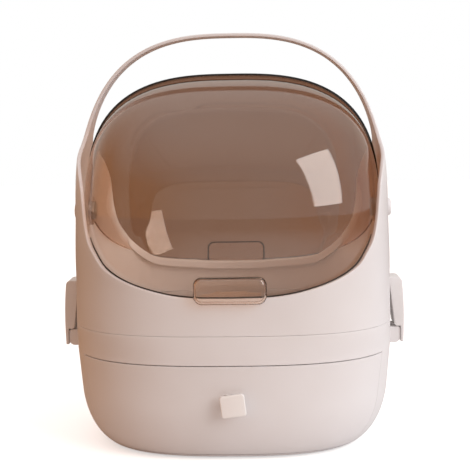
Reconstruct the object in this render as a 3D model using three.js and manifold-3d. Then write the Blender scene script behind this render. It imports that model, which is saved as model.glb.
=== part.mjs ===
// Dustproof makeup organizer: a base with a drawer, a shell with a carry handle held by two side latches,
// and two nested dome lids that swing about one axis.
// Millimetres, +Z up, front towards -Y, origin on the table under the middle of the body.

import * as THREE from "three";
import { mergeVertices } from "three/addons/utils/BufferGeometryUtils.js";
import Module from "manifold-3d";

const wasm = await Module();
wasm.setup();

// Clearances shared by all pieces
const seatGap = 0.3; // pieces that rest on or in each other
const runGap = 0.5; // pieces that move past each other
const seamGap = 0.4; // the shadow line between two outer mouldings
const overrun = 8; // how far a cutting solid passes what it cuts
const weld = 0.6; // how far a rib or boss sinks into the wall that carries it
const mergeDistance = 1e-4; // points closer than this are one point

// Body: one outline in plan, from the bowl to the shoulders
const bodyHalfWidth = 124.9;
const bodyHalfDepth = 93.5;
const bowlPower = 2.7; // superellipse powers of the plan, low for round corners
const ringPower = 2.95;
const shoulderPower = 3.3;
const bowlTop = 74.3; // underside of the ring, over the drawer
const bowlTaper = 7.5; // how much narrower the bowl is at the table than at the ring
const bowlRoundHeight = 42;
const bowlRoundWidth = 25;
const bowlRoundDepth = 18;
const baseWall = 3.6;
const baseBottom = 1.5;
const floorThickness = 2.7;
const ringTop = 95.2;
const easeHeight = 45; // the sides lean in over this height under the hinge
const easeWidth = 1.1;

// Shell, rim and handle
const shellWall = 2.9;
const pivotHeight = 179; // hinge axis of both lids
const rimDrop = 56.6; // the rim's lowest point under the hinge axis
const handleRise = 143.6; // top of the handle above the hinge axis
const handleThickness = 3.3;
const handleHalfDepth = 9;
const handlePower = 2.71;
const lipReach = 9; // how far the lip may reach in from the outer face
const lipHeight = 6;
const lipTopDrop = 13; // the lip has half its width this far under the hinge axis
const lipFade = 14; // height over which the lip grows out of the wall
const lipDepth = 3.6; // from the outer face in to the front lid at the middle of the rim

// Side outline of the shell from the middle of the rim up to the handle:
// share of the way from the handle's half depth to the body's, and share of the rim's drop or the handle's rise
const sideOutlineShares = [
  [1, -1],
  [0.961, -0.906],
  [0.935, -0.855],
  [0.864, -0.721],
  [0.815, -0.615],
  [0.779, -0.484],
  [0.722, -0.3],
  [0.669, -0.03],
  [0.639, 0.083],
  [0.598, 0.172],
  [0.485, 0.262],
  [0.308, 0.324],
  [0.13, 0.379],
  [0.047, 0.434],
  [0.012, 0.524],
  [0, 0.69],
  [0, 1.08],
];
const rearDipStartShare = 0.88; // the rear rim dips under the rear lid's edge from here on
const rearDipEndShare = 0.93;

// Lids: shells of revolution about the hinge axis
const lidPower = 2.83;
const lidWall = 1.6;
const lidSideGap = 0.6; // between the two lids at the hinge
const lidEndGap = 0.8; // between the rear lid and the shell at the hinge
const lidStep = 4.3; // the rear lid's radius over the front lid's
const lidTuck = 2; // how far the front lid reaches down inside the rim
const rearLidLift = 0.5; // the rear lid's edge over the rear rim
const lidOverlapAngle = 3; // degrees that the front lid reaches under the rear lid
const beadAngle = 2; // degrees of the rear lid's inward bead
const rearLidLead = 1.5; // degrees that the rear lid's edge lies in front of the top
const rearLidTravel = 100; // degrees
const travelSpare = 2; // degrees that the shell is cut beyond a lid's travel
const edgeSpare = 0.7; // degrees that the shell is cut beyond a lid's closed edge
const hubRadius = 12;
const pinRadius = 4;
const pinHeadRadius = 7.5;
const pinHeadThickness = 2;
const capRadius = 7;
const capHeight = 4.7;
const capBoreDepth = 2.6;
const capEdgeShares = [
  [1, 0.62],
  [0.94, 0.8],
  [0.8, 0.92],
  [0.5, 1],
];

// Finger tabs on the lids
const tabHalfWidth = 26.5;
const tabHeight = 20;
const tabCorner = 6.5;
const tabHang = 3.4; // how far a tab hangs below the rim
const frontTabReach = 7.5; // a tab's face in front of the body
const rearTabReach = 11.7;
const tabNeckLift = 3.8; // the rim passes under the tab's neck

// Side latches, drawn for the right side
const latchHalfWidth = 11;
const latchBottom = 71.3;
const latchTop = 123;
const latchCorner = 4.2;
const latchBottomReach = 11.4; // outer face beyond the body at the bottom, the belly and the top
const latchBellyReach = 12.2;
const latchTopReach = 11.2;
const latchSkin = 2;
const latchTopGap = 0.4; // between the latch and the body at its top and at its belly
const latchBellyGap = 2;
const latchFoot = 85; // the thick part of the latch ends here, over the bracket
const latchFootCorner = 2.5;
const latchPinReach = 4.7; // latch pin beyond the body
const latchPinHeight = 75;
const latchPinRadius = 1.8;
const lugRadius = 3.9;
const lugHalfWidth = 4.7;
const bracketHalfWidth = 9.5;
const bracketTop = 82.5;
const catchBottom = 101;
const catchHeight = 3;
const catchHalfWidth = 7;
const catchReach = 1.9;
const hookHeight = 2.6;
const pocketDepth = 1;

// Deck and its ledge
const ledgeWidth = 8.6;
const ledgeThickness = 2.2;
const deckThickness = 2.2;
const locatorWidth = 2;
const locatorRise = 5; // the locating rib's reach above the seam and below it

// Screws
const screwRadius = 1.6;
const screwHeadRadius = 3;
const screwHeadHeight = 1.4;
const deckScrewTurnShares = [0.125, 0.375, 0.625, 0.875]; // shares of a turn about the deck

// Drawer
const drawerSplit = 54; // the bowl splits into drawer front and housing this far in front of the middle
const drawerSideGap = 4; // between the tray and the narrowest place of its opening
const drawerEndGap = 1.5;
const trayFloorHeight = 8;
const trayTop = 66;
const trayWall = 1.8;
const drawerFrontBottom = 4.6;
const drawerTravel = 95;
const railHalfWidth = 3;
const railHalfSpacing = 52;
const railEndInset = 35.5; // from the body's front and rear to the ends of the rails
const guideWidth = 1.6;
const stopHalfWidth = 12;
const stopThickness = 3;
const stopLugDepth = 7;
const stopRise = 6.5; // the stop lug above the tray's rim
const stopRibDrop = 7; // the deck's stop rib below the deck
const stopClearance = 2;
const bossRadius = 5;
const bossHalfSpacing = 40;
const bossHeight = 45;
const screwBite = 1.2; // how far the screws enter the drawer front's wall

// Drawer pull
const pullHalfWidth = 9;
const pullTop = 54.4;
const pullLength = 15.8;
const pullThickness = 2.5;
const pullGap = 4.9; // finger gap behind the pull at its top
const pullTilt = 7; // degrees that the tongue leans to the right
const pullCorner = 2;
const stubHalfWidth = 5;
const stubHeight = 6;

// Cosmetics tray
const cosmeticsInset = 13;
const cosmeticsHeight = 11.5;
const cosmeticsWall = 1.6;
const dividerHalfSpacing = 35;
const dividerThickness = 1.6;
const dividerHeight = 9;

// Feet
const footRadius = 7;
const footHeight = 1.2;
const footStubRadius = 3;
const footStubHeight = 1.6;
const footHalfSpacingX = 70;
const footHalfSpacingY = 44;

// Facets
const planSegments = 40;
const lidSegments = 48;
const lidProfileSteps = 16;
const domeSpread = 160; // degrees of a dome's profile that are curved, between the flats at its hubs
const archSteps = 11;
const archTopShare = 0.985; // the last ring of the arch lies just before its top
const bowlLevelShares = [0.055, 0.13, 0.24, 0.38, 0.6, 1];
const easeLevelShares = [0.25, 0.5, 0.75];
const shellLevelShares = [0, 0.3, 0.48, 0.66, 0.84, 1];
const lipLevelShares = [0, 0.2, 0.4, 0.6, 0.8, 1];
const outlineSteps = 32;
const cornerSegments = 6;
const traySectionSteps = 8;
const wedgeStep = 15; // degrees
const roundSegments = 20;
const smallSegments = 12;

// Sizes worked out from the ones above
const shellBottom = ringTop + seamGap;
const easeStart = pivotHeight - easeHeight;
const pivotHalfWidth = bodyHalfWidth - easeWidth;
const frontLidRadius = Math.hypot(bodyHalfDepth - lipDepth, rimDrop);
const rearLidRadius = frontLidRadius + lidStep;
const rearLidHalfWidth = pivotHalfWidth - shellWall - lidEndGap;
const frontLidHalfWidth = rearLidHalfWidth - lidWall - lidSideGap;
const frontLidEdge = -degrees(Math.asin((rimDrop + lidTuck) / frontLidRadius));
const rearLidEdge = 180 + degrees(Math.asin((rimDrop - rearLidLift) / rearLidRadius));
const quarterTurn = 90;
const floorTop = baseBottom + floorThickness;
const ledgeTop = bowlTop + ledgeThickness;
const deckBottom = ledgeTop + seatGap;
const deckTop = deckBottom + deckThickness;
const rimFront = pivotHeight - rimDrop;
const latchPinX = bodyHalfWidth + latchPinReach;
const bracketReach = latchBottomReach - latchSkin - runGap;
const railHalfLength = bodyHalfDepth - railEndInset;
const locatorInner = shellWall + seatGap + locatorWidth;
const screwInset = locatorInner + screwHeadRadius + runGap;

// Finishes
const blush = { color: "#d9ccc6", roughness: 0.38, metalness: 0 };
const blushPull = { color: "#e6d5cd", roughness: 0.4, metalness: 0 };
const amber = { color: "#a37c66", roughness: 0.06, metalness: 0, transparent: true, opacity: 0.45 };
const cream = { color: "#d3c2b6", roughness: 0.5, metalness: 0 };
const steel = { color: "#b9bbbd", roughness: 0.3, metalness: 1 };
const rubber = { color: "#4b4744", roughness: 0.85, metalness: 0 };

const model = new THREE.Group();

function degrees(angle) {
  return (angle * 180) / Math.PI;
}

function radians(angle) {
  return (angle * Math.PI) / 180;
}

function smoothStep(share) {
  const s = Math.min(Math.max(share, 0), 1);
  return s * s * (3 - 2 * s);
}

// A closed geometry as a solid that can be joined and cut
function solid(geometry) {
  const plain = geometry.clone();
  plain.deleteAttribute("normal");
  plain.deleteAttribute("uv");
  const merged = mergeVertices(plain, mergeDistance);
  const corners = merged.index.array;
  const kept = [];
  for (let i = 0; i < corners.length; i += 3) {
    const [a, b, c] = [corners[i], corners[i + 1], corners[i + 2]];
    if (a !== b && b !== c && c !== a) kept.push(a, b, c);
  }
  const vertProperties = merged.attributes.position.array;
  const build = (list) =>
    new wasm.Manifold(new wasm.Mesh({ numProp: 3, vertProperties, triVerts: new Uint32Array(list) }));
  const made = build(kept);
  return made.volume() < 0 ? build(kept.reverse()) : made;
}

// Adds a solid to the model as a named mesh
function addPiece(name, shape, finish) {
  const data = shape.getMesh();
  const geometry = new THREE.BufferGeometry();
  geometry.setAttribute("position", new THREE.BufferAttribute(data.vertProperties, 3));
  geometry.setIndex(new THREE.BufferAttribute(data.triVerts, 1));
  geometry.computeVertexNormals();
  const mesh = new THREE.Mesh(geometry, new THREE.MeshStandardMaterial(finish));
  mesh.name = name;
  model.add(mesh);
  return mesh;
}

// Adds a piece drawn for the right side, or its mirror image on the left
function addSidePiece(name, shape, finish, side) {
  addPiece(name, shape, finish).scale.x = side;
}

const sides = [
  ["left", -1],
  ["right", 1],
];

function box(x0, x1, y0, y1, z0, z1) {
  const geometry = new THREE.BoxGeometry(x1 - x0, y1 - y0, z1 - z0);
  return solid(geometry.translate((x0 + x1) / 2, (y0 + y1) / 2, (z0 + z1) / 2));
}

function extrude(shape, length) {
  return new THREE.ExtrudeGeometry(shape, { depth: length, bevelEnabled: false, curveSegments: cornerSegments });
}

// A shape drawn in y and z, extruded along X
function extrudeX(shape, from, to) {
  const turn = new THREE.Matrix4().makeBasis(
    new THREE.Vector3(0, 1, 0),
    new THREE.Vector3(0, 0, 1),
    new THREE.Vector3(1, 0, 0),
  );
  return solid(extrude(shape, to - from).applyMatrix4(turn).translate(from, 0, 0));
}

// A shape drawn in x and z, extruded along Y
function extrudeY(shape, from, to) {
  return solid(extrude(shape, to - from).rotateX(Math.PI / 2).translate(0, to, 0));
}

function rodX(radius, from, to, y, z) {
  const geometry = new THREE.CylinderGeometry(radius, radius, to - from, roundSegments);
  return solid(geometry.rotateZ(Math.PI / 2).translate((from + to) / 2, y, z));
}

function rodY(radius, from, to, x, z) {
  const geometry = new THREE.CylinderGeometry(radius, radius, to - from, smallSegments);
  return solid(geometry.translate(0, (from + to) / 2, 0).translate(x, 0, z));
}

function rodZ(radius, from, to, x, y) {
  const geometry = new THREE.CylinderGeometry(radius, radius, to - from, smallSegments);
  return solid(geometry.rotateX(Math.PI / 2).translate(x, y, (from + to) / 2));
}

// Half widths, half depths and powers of the body's plan at a height
function bowlRounding(z) {
  const down = Math.max(0, 1 - z / bowlRoundHeight);
  return 1 - Math.sqrt(Math.max(0, 1 - down * down));
}

function bowlLean(z) {
  return bowlTaper * Math.max(0, 1 - z / bowlTop);
}

function halfWidthAt(z) {
  const ease = easeWidth * smoothStep((z - easeStart) / (pivotHeight - easeStart));
  return bodyHalfWidth - bowlLean(z) - bowlRoundWidth * bowlRounding(z) - ease;
}

function halfDepthAt(z) {
  return bodyHalfDepth - bowlLean(z) - bowlRoundDepth * bowlRounding(z);
}

function powerAt(z) {
  const toRing = smoothStep((z - bowlTop) / (ringTop - bowlTop));
  const toShoulder = smoothStep((z - rimFront) / (pivotHeight - lipTopDrop - rimFront));
  return bowlPower + (ringPower - bowlPower) * toRing + (shoulderPower - ringPower) * toShoulder;
}

// One ring of the plan: a superellipse
function ring(halfWidth, halfDepth, power, z) {
  const points = [];
  for (let i = 0; i < planSegments; i++) {
    const angle = (2 * Math.PI * i) / planSegments;
    const x = halfWidth * Math.sign(Math.cos(angle)) * Math.abs(Math.cos(angle)) ** (2 / power);
    const y = halfDepth * Math.sign(Math.sin(angle)) * Math.abs(Math.sin(angle)) ** (2 / power);
    points.push(new THREE.Vector3(x, y, z));
  }
  return points;
}

// A solid through rings of equally many points, listed upwards
function loft(rings) {
  const count = rings[0].length;
  const positions = [];
  const index = [];
  for (const point of rings.flat()) positions.push(point.x, point.y, point.z);
  for (let level = 0; level < rings.length - 1; level++) {
    for (let i = 0; i < count; i++) {
      const a = level * count + i;
      const b = level * count + ((i + 1) % count);
      index.push(a, b, b + count, a, b + count, a + count);
    }
  }
  const bottomCentre = positions.length / 3;
  positions.push(0, 0, rings[0][0].z, 0, 0, rings[rings.length - 1][0].z);
  const topStart = (rings.length - 1) * count;
  for (let i = 0; i < count; i++) {
    const next = (i + 1) % count;
    index.push(bottomCentre, next, i, bottomCentre + 1, topStart + i, topStart + next);
  }
  const geometry = new THREE.BufferGeometry();
  geometry.setAttribute("position", new THREE.Float32BufferAttribute(positions, 3));
  return solid(geometry.setIndex(index));
}

// The body's outline, moved in by an inset, between two heights
function bodyLoft(from, to, insetX, insetY = insetX) {
  const levels = [
    ...bowlLevelShares.map((share) => share * bowlRoundHeight),
    bowlTop,
    ringTop,
    easeStart,
    ...easeLevelShares.map((share) => easeStart + share * easeHeight),
    pivotHeight,
  ].filter((z) => z > from && z < to);
  return loft(
    [from, ...levels, to].map((z) => ring(halfWidthAt(z) - insetX, halfDepthAt(z) - insetY, powerAt(z), z)),
  );
}

// The shell's outline with the handle's arch over it, moved in by the wall and the handle's thickness
function shellLoft(from, wall, thickness) {
  const plan = (z) => [halfWidthAt(z) - wall, bodyHalfDepth - wall, powerAt(z)];
  const rings = from < shellBottom ? [ring(...plan(shellBottom), from)] : [];
  for (const share of shellLevelShares) {
    const z = shellBottom + share * (pivotHeight - shellBottom);
    rings.push(ring(...plan(z), z));
  }
  for (let step = 1; step <= archSteps; step++) {
    const angle = (Math.PI / 2) * (step === archSteps ? archTopShare : step / archSteps);
    const halfWidth = (pivotHalfWidth - wall) * Math.cos(angle) ** (2 / handlePower);
    const z = pivotHeight + (handleRise - thickness) * Math.sin(angle) ** (2 / handlePower);
    rings.push(ring(halfWidth, bodyHalfDepth - wall, shoulderPower, z));
  }
  return loft(rings);
}

// Everything under the shell's side outline, from far below up to the handle
function sideOutline(drop) {
  const curve = new THREE.CatmullRomCurve3(
    sideOutlineShares.map(([depthShare, levelShare]) => {
      const depth = handleHalfDepth + depthShare * (bodyHalfDepth - handleHalfDepth);
      const level = levelShare * (levelShare < 0 ? rimDrop : handleRise);
      return new THREE.Vector3(depth, level, 0);
    }),
    false,
    "centripetal",
  );
  const points = curve.getPoints(outlineSteps);
  const rearSlope = Math.tan(Math.asin((rimDrop - rearLidLift) / rearLidRadius));
  const rearPoints = points.map(({ x: depth, y: level }) => {
    const dip = smoothStep(
      (depth / bodyHalfDepth - rearDipStartShare) / (rearDipEndShare - rearDipStartShare),
    );
    const seat = Math.min(level, -depth * rearSlope - runGap);
    return [depth, level + dip * (seat - level)];
  });
  const shape = new THREE.Shape();
  const far = bodyHalfDepth + overrun;
  shape.moveTo(far, 0);
  shape.lineTo(far, rimFront - drop);
  for (const [depth, level] of rearPoints) shape.lineTo(depth, pivotHeight + level - drop);
  for (const { x: depth, y: level } of points.toReversed()) {
    shape.lineTo(-depth, pivotHeight + level - drop);
  }
  shape.lineTo(-far, rimFront - drop);
  shape.lineTo(-far, 0);
  const reach = bodyHalfWidth + overrun;
  return extrudeX(shape, -reach, reach);
}

// A dome about the hinge axis, flat at the hubs
function dome(halfWidth, radius) {
  const profile = [new THREE.Vector2(0, -halfWidth), new THREE.Vector2(hubRadius, -halfWidth)];
  for (let step = 0; step <= lidProfileSteps; step++) {
    const angle = radians(domeSpread) * (step / lidProfileSteps - 0.5);
    const along = halfWidth * Math.sign(Math.sin(angle)) * Math.abs(Math.sin(angle)) ** (2 / lidPower);
    const out = radius * Math.cos(angle) ** (2 / lidPower);
    profile.push(new THREE.Vector2(out, along));
  }
  profile.push(new THREE.Vector2(hubRadius, halfWidth), new THREE.Vector2(0, halfWidth));
  const geometry = new THREE.LatheGeometry(profile, lidSegments);
  return solid(geometry.rotateZ(Math.PI / 2).translate(0, 0, pivotHeight));
}

// A wedge with its edge on the hinge axis; angles in degrees from the front, upwards and over to the rear
function wedge(from, to) {
  const far = handleRise + overrun;
  const shape = new THREE.Shape();
  shape.moveTo(0, pivotHeight);
  const steps = Math.ceil((to - from) / wedgeStep);
  for (let step = 0; step <= steps; step++) {
    const angle = radians(from + ((to - from) * step) / steps);
    shape.lineTo(-far * Math.cos(angle), pivotHeight + far * Math.sin(angle));
  }
  return extrudeX(shape, -bodyHalfWidth, bodyHalfWidth);
}

// A rounded rectangle in x and z
function roundedRectangle(x0, x1, z0, z1, corner) {
  const shape = new THREE.Shape();
  shape.moveTo(x0 + corner, z0);
  shape.lineTo(x1 - corner, z0);
  shape.absarc(x1 - corner, z0 + corner, corner, -Math.PI / 2, 0);
  shape.lineTo(x1, z1 - corner);
  shape.absarc(x1 - corner, z1 - corner, corner, 0, Math.PI / 2);
  shape.lineTo(x0 + corner, z1);
  shape.absarc(x0 + corner, z1 - corner, corner, Math.PI / 2, Math.PI);
  shape.lineTo(x0, z0 + corner);
  shape.absarc(x0 + corner, z0 + corner, corner, Math.PI, 1.5 * Math.PI);
  return shape;
}

// Base: floor, rear wall of the bowl, ring over the drawer, ledge for the deck, locating rib and latch brackets
function latchBracket() {
  const shape = new THREE.Shape();
  const inner = bodyHalfWidth - baseWall + weld;
  const outer = bodyHalfWidth + bracketReach;
  const rounding = outer - latchPinX;
  shape.moveTo(inner, latchPinHeight - rounding);
  shape.lineTo(latchPinX, latchPinHeight - rounding);
  shape.absarc(latchPinX, latchPinHeight, rounding, -Math.PI / 2, 0);
  shape.lineTo(outer, bracketTop);
  shape.lineTo(inner, bracketTop);
  const slot = lugHalfWidth + seatGap;
  return extrudeY(shape, -bracketHalfWidth, bracketHalfWidth)
    .subtract(box(bodyHalfWidth, outer + overrun, -slot, slot, latchBottom - overrun, bracketTop + overrun))
    .subtract(rodY(latchPinRadius + seatGap, -bodyHalfDepth, bodyHalfDepth, latchPinX, latchPinHeight));
}

function mirrored(shape) {
  const data = shape.getMesh();
  const geometry = new THREE.BufferGeometry();
  geometry.setAttribute("position", new THREE.BufferAttribute(data.vertProperties, 3));
  return solid(geometry.setIndex(new THREE.BufferAttribute(data.triVerts, 1)).scale(-1, 1, 1));
}

function deckScrewPlaces() {
  const points = ring(bodyHalfWidth - screwInset, bodyHalfDepth - screwInset, ringPower, 0);
  return deckScrewTurnShares.map((share) => points[share * planSegments]);
}

function footPlaces() {
  return [-1, 1].flatMap((x) => [-1, 1].map((y) => [x * footHalfSpacingX, y * footHalfSpacingY]));
}

function baseHousing() {
  const reach = bodyHalfWidth + overrun;
  let base = bodyLoft(baseBottom, ringTop, 0).subtract(bodyLoft(floorTop, ringTop + overrun, baseWall));
  base = base.subtract(box(-reach, reach, -reach, -drawerSplit + seamGap, floorTop, bowlTop));
  const ledge = bodyLoft(bowlTop, ledgeTop, baseWall - weld);
  base = base.add(ledge.subtract(bodyLoft(0, ringTop, baseWall + ledgeWidth)));
  const rib = bodyLoft(ringTop - locatorRise, ringTop + locatorRise, shellWall + seatGap);
  base = base.add(rib.subtract(bodyLoft(0, pivotHeight, locatorInner)));
  base = base.add(latchBracket()).add(mirrored(latchBracket()));
  for (const { x, y } of deckScrewPlaces()) {
    base = base.subtract(rodZ(screwRadius + seatGap, bowlTop - overrun, ledgeTop + overrun, x, y));
  }
  for (const [x, y] of footPlaces()) {
    const top = baseBottom + footStubHeight;
    base = base.subtract(rodZ(footStubRadius + seatGap, -overrun, top, x, y));
  }
  return base;
}

// Deck between the drawer and the main compartment, with the drawer's stop rib under it
function drawerStopFront() {
  return halfDepthAt(trayTop) - baseWall - drawerEndGap - stopLugDepth;
}

function middleDeck() {
  let deck = bodyLoft(deckBottom, deckTop, baseWall + seatGap);
  const ribRear = drawerStopFront() - drawerTravel - stopClearance;
  deck = deck.add(
    box(
      -stopHalfWidth,
      stopHalfWidth,
      ribRear - stopThickness,
      ribRear,
      deckBottom - stopRibDrop,
      deckBottom + weld,
    ),
  );
  for (const { x, y } of deckScrewPlaces()) {
    deck = deck.subtract(rodZ(screwRadius + seatGap, 0, ringTop, x, y));
  }
  return deck;
}

function screwZ(x, y, seat, length) {
  const head = rodZ(screwHeadRadius, seat, seat + screwHeadHeight, x, y);
  return head.add(rodZ(screwRadius, seat - length, seat + weld, x, y));
}

function screwY(x, z, seat, length) {
  const head = rodY(screwHeadRadius, seat, seat + screwHeadHeight, x, z);
  return head.add(rodY(screwRadius, seat - length, seat + weld, x, z));
}

// Shell: loft cut by its side outline and by the room that the lids swing through
function lidRoom() {
  const rearDome = dome(rearLidHalfWidth + runGap, rearLidRadius + runGap);
  const frontDome = dome(frontLidHalfWidth + runGap, frontLidRadius + runGap);
  const rearFrom = quarterTurn - rearLidLead - rearLidTravel - travelSpare;
  const rearRoom = rearDome.intersect(wedge(rearFrom, rearLidEdge + edgeSpare));
  return rearRoom.add(frontDome.intersect(wedge(frontLidEdge - edgeSpare, 0)));
}

// What lies inside the lip, which grows out of the wall below the hinge
function lipCore() {
  const start = pivotHeight - lipTopDrop - lipFade / 2;
  const heights = [
    ...shellLevelShares.map((share) => shellBottom + share * (pivotHeight - shellBottom)),
    ...lipLevelShares.map((share) => start + share * lipFade),
  ].sort((a, b) => a - b);
  const plan = (z) => {
    const inset = lipReach + (shellWall - weld - lipReach) * smoothStep((z - start) / lipFade);
    return [halfWidthAt(z) - inset, bodyHalfDepth - inset, powerAt(z)];
  };
  const rings = heights.map((z) => ring(...plan(z), z));
  return loft([ring(...plan(shellBottom), shellBottom - overrun), ...rings]);
}

function upperShell() {
  const outer = shellLoft(shellBottom, 0, 0);
  const outline = sideOutline(0);
  const walls = outer.intersect(outline).subtract(shellLoft(shellBottom - overrun, shellWall, handleThickness));
  const band = outline.subtract(sideOutline(lipHeight));
  const reach = bodyHalfWidth + overrun;
  const below = box(-reach, reach, -reach, reach, 0, pivotHeight - lipTopDrop + lipFade / 2);
  const lip = outer.intersect(band).intersect(below).subtract(lipCore());
  const inner = bodyHalfWidth - shellWall + weld;
  const rib = box(
    inner,
    bodyHalfWidth + catchReach,
    -catchHalfWidth,
    catchHalfWidth,
    catchBottom,
    catchBottom + catchHeight,
  );
  let shell = walls.add(lip).subtract(lidRoom());
  shell = shell.add(rib).add(mirrored(rib));
  return shell.subtract(rodX(pinRadius + seatGap, -reach, reach, 0, pivotHeight));
}

// Lids
function tab(front, lidInside) {
  const z0 = rimFront - tabHang;
  const outline = roundedRectangle(-tabHalfWidth, tabHalfWidth, z0, z0 + tabHeight, tabCorner);
  const behind = bodyHalfDepth + runGap;
  const reach = bodyHalfDepth + (front ? frontTabReach : rearTabReach);
  const plate = front ? extrudeY(outline, -reach, -behind) : extrudeY(outline, behind, reach);
  const neck = front ? extrudeY(outline, -behind - weld, 0) : extrudeY(outline, 0, behind + weld);
  const aboveRim = box(
    -bodyHalfWidth,
    bodyHalfWidth,
    -bodyHalfDepth - overrun,
    bodyHalfDepth + overrun,
    rimFront + tabNeckLift,
    pivotHeight,
  );
  return plate.add(neck.intersect(aboveRim)).subtract(lidInside);
}

function hubs() {
  return rodX(hubRadius, -bodyHalfWidth, bodyHalfWidth, 0, pivotHeight);
}

function pinHoles() {
  return rodX(pinRadius + seatGap, -bodyHalfWidth, bodyHalfWidth, 0, pivotHeight);
}

function frontLid() {
  const inside = dome(frontLidHalfWidth - lidWall, frontLidRadius - lidWall);
  const skin = dome(frontLidHalfWidth, frontLidRadius).subtract(inside);
  const cut = skin.intersect(wedge(frontLidEdge, quarterTurn + lidOverlapAngle).add(hubs()));
  return cut.add(tab(true, inside)).subtract(pinHoles());
}

function rearLid() {
  const inside = dome(rearLidHalfWidth - lidWall, rearLidRadius - lidWall);
  const skin = dome(rearLidHalfWidth, rearLidRadius);
  const lead = quarterTurn - rearLidLead;
  const cut = skin.subtract(inside).intersect(wedge(lead, rearLidEdge).add(hubs()));
  const frontRoom = dome(frontLidHalfWidth + runGap, frontLidRadius + runGap);
  const bead = skin.subtract(frontRoom).intersect(wedge(lead, lead + beadAngle));
  return cut.add(bead).add(tab(false, inside)).subtract(pinHoles());
}

function hingePin() {
  const seat = frontLidHalfWidth - lidWall - seatGap;
  const head = rodX(pinHeadRadius, seat - pinHeadThickness, seat, 0, pivotHeight);
  return head.add(rodX(pinRadius, seat - weld, pivotHalfWidth + capBoreDepth, 0, pivotHeight));
}

function hingeCap() {
  const bore = pinRadius + seatGap;
  const profile = [
    new THREE.Vector2(bore, 0),
    new THREE.Vector2(capRadius, 0),
    ...capEdgeShares.map(([out, up]) => new THREE.Vector2(out * capRadius, up * capHeight)),
    new THREE.Vector2(0, capHeight),
    new THREE.Vector2(0, capBoreDepth),
    new THREE.Vector2(bore, capBoreDepth),
    new THREE.Vector2(bore, 0),
  ];
  const geometry = new THREE.LatheGeometry(profile, roundSegments);
  return solid(geometry.rotateZ(-Math.PI / 2).translate(pivotHalfWidth + runGap, 0, pivotHeight));
}

// Side latch: a thick lever over the shell, a skin over the bracket, a lug on the pin and a hook over the catch
function sideLatch() {
  const bottomOuter = bodyHalfWidth + latchBottomReach;
  const topOuter = bodyHalfWidth + latchTopReach;
  const skinInner = bottomOuter - latchSkin;
  const middle = (latchBottom + latchTop) / 2;
  const shape = new THREE.Shape();
  shape.moveTo(skinInner, latchBottom);
  shape.lineTo(bottomOuter, latchBottom);
  shape.quadraticCurveTo(
    bodyHalfWidth + 2 * latchBellyReach - (latchBottomReach + latchTopReach) / 2,
    middle,
    topOuter,
    latchTop - latchCorner,
  );
  shape.quadraticCurveTo(topOuter, latchTop, topOuter - latchCorner, latchTop);
  shape.lineTo(bodyHalfWidth + latchTopGap, latchTop);
  shape.lineTo(bodyHalfWidth + latchBellyGap, latchFoot + latchFootCorner);
  shape.quadraticCurveTo(
    bodyHalfWidth + latchBellyGap,
    latchFoot,
    bodyHalfWidth + latchBellyGap + latchFootCorner,
    latchFoot,
  );
  shape.lineTo(skinInner, latchFoot);
  const lug = rodY(lugRadius, -lugHalfWidth, lugHalfWidth, latchPinX, latchPinHeight);
  const web = box(
    latchPinX,
    skinInner + weld,
    -lugHalfWidth,
    lugHalfWidth,
    latchBottom,
    latchPinHeight + lugRadius,
  );
  const pocketHalf = catchHalfWidth + runGap;
  const hookBottom = catchBottom + catchHeight + seatGap;
  const pocketOuter = bodyHalfWidth + catchReach + pocketDepth;
  const pocket = box(0, pocketOuter, -pocketHalf, pocketHalf, catchBottom - runGap, hookBottom);
  const hook = box(
    bodyHalfWidth + latchTopGap,
    pocketOuter,
    -catchHalfWidth,
    catchHalfWidth,
    hookBottom,
    hookBottom + hookHeight,
  );
  return extrudeY(shape, -latchHalfWidth, latchHalfWidth)
    .subtract(pocket)
    .add(hook)
    .add(lug.add(web))
    .subtract(rodY(latchPinRadius + seatGap, -bodyHalfDepth, bodyHalfDepth, latchPinX, latchPinHeight));
}

function latchPin() {
  return rodY(latchPinRadius, -bracketHalfWidth, bracketHalfWidth, latchPinX, latchPinHeight);
}

// Half width of the drawer's opening at a height, where the bowl splits
function openingHalfWidth(z) {
  const share = drawerSplit / (halfDepthAt(z) - baseWall);
  return (halfWidthAt(z) - baseWall) * (1 - share ** powerAt(z)) ** (1 / powerAt(z));
}

// Drawer: the tray's sides run straight back, so that it passes through its opening
function trayLoft(from, to, inset) {
  const right = [];
  for (let step = 0; step <= traySectionSteps; step++) {
    const z = from + ((to - from) * step) / traySectionSteps;
    right.push(new THREE.Vector2(openingHalfWidth(z) - drawerSideGap - inset, z));
  }
  const left = right.map(({ x, y: z }) => new THREE.Vector2(-x, z)).reverse();
  const sides = extrudeY(new THREE.Shape([...right, ...left]), -bodyHalfDepth, bodyHalfDepth);
  return bodyLoft(from, to, baseWall + inset, baseWall + drawerEndGap + inset).intersect(sides);
}

function drawerTray() {
  let tray = trayLoft(trayFloorHeight, trayTop, 0);
  tray = tray.subtract(trayLoft(trayFloorHeight + trayWall, trayTop + overrun, trayWall));
  const lugRear = drawerStopFront() + stopLugDepth - trayWall / 2;
  const lug = box(
    -stopHalfWidth,
    stopHalfWidth,
    drawerStopFront(),
    lugRear,
    trayTop - stopRise,
    trayTop + stopRise,
  );
  tray = tray.add(lug);
  const guideInner = railHalfSpacing + railHalfWidth + seatGap;
  for (const from of [-guideInner - guideWidth, guideInner]) {
    tray = tray.add(
      box(
        from,
        from + guideWidth,
        -railHalfLength,
        railHalfLength,
        floorTop + runGap,
        trayFloorHeight + weld,
      ),
    );
  }
  for (const x of [-bossHalfSpacing, bossHalfSpacing]) {
    tray = tray.subtract(rodY(screwRadius + seatGap, -bodyHalfDepth, 0, x, bossHeight));
  }
  const pullScrewRoom = rodY(screwHeadRadius + runGap, -bodyHalfDepth, 0, 0, pullTop - stubHeight / 2);
  return tray.subtract(pullScrewRoom);
}

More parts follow.
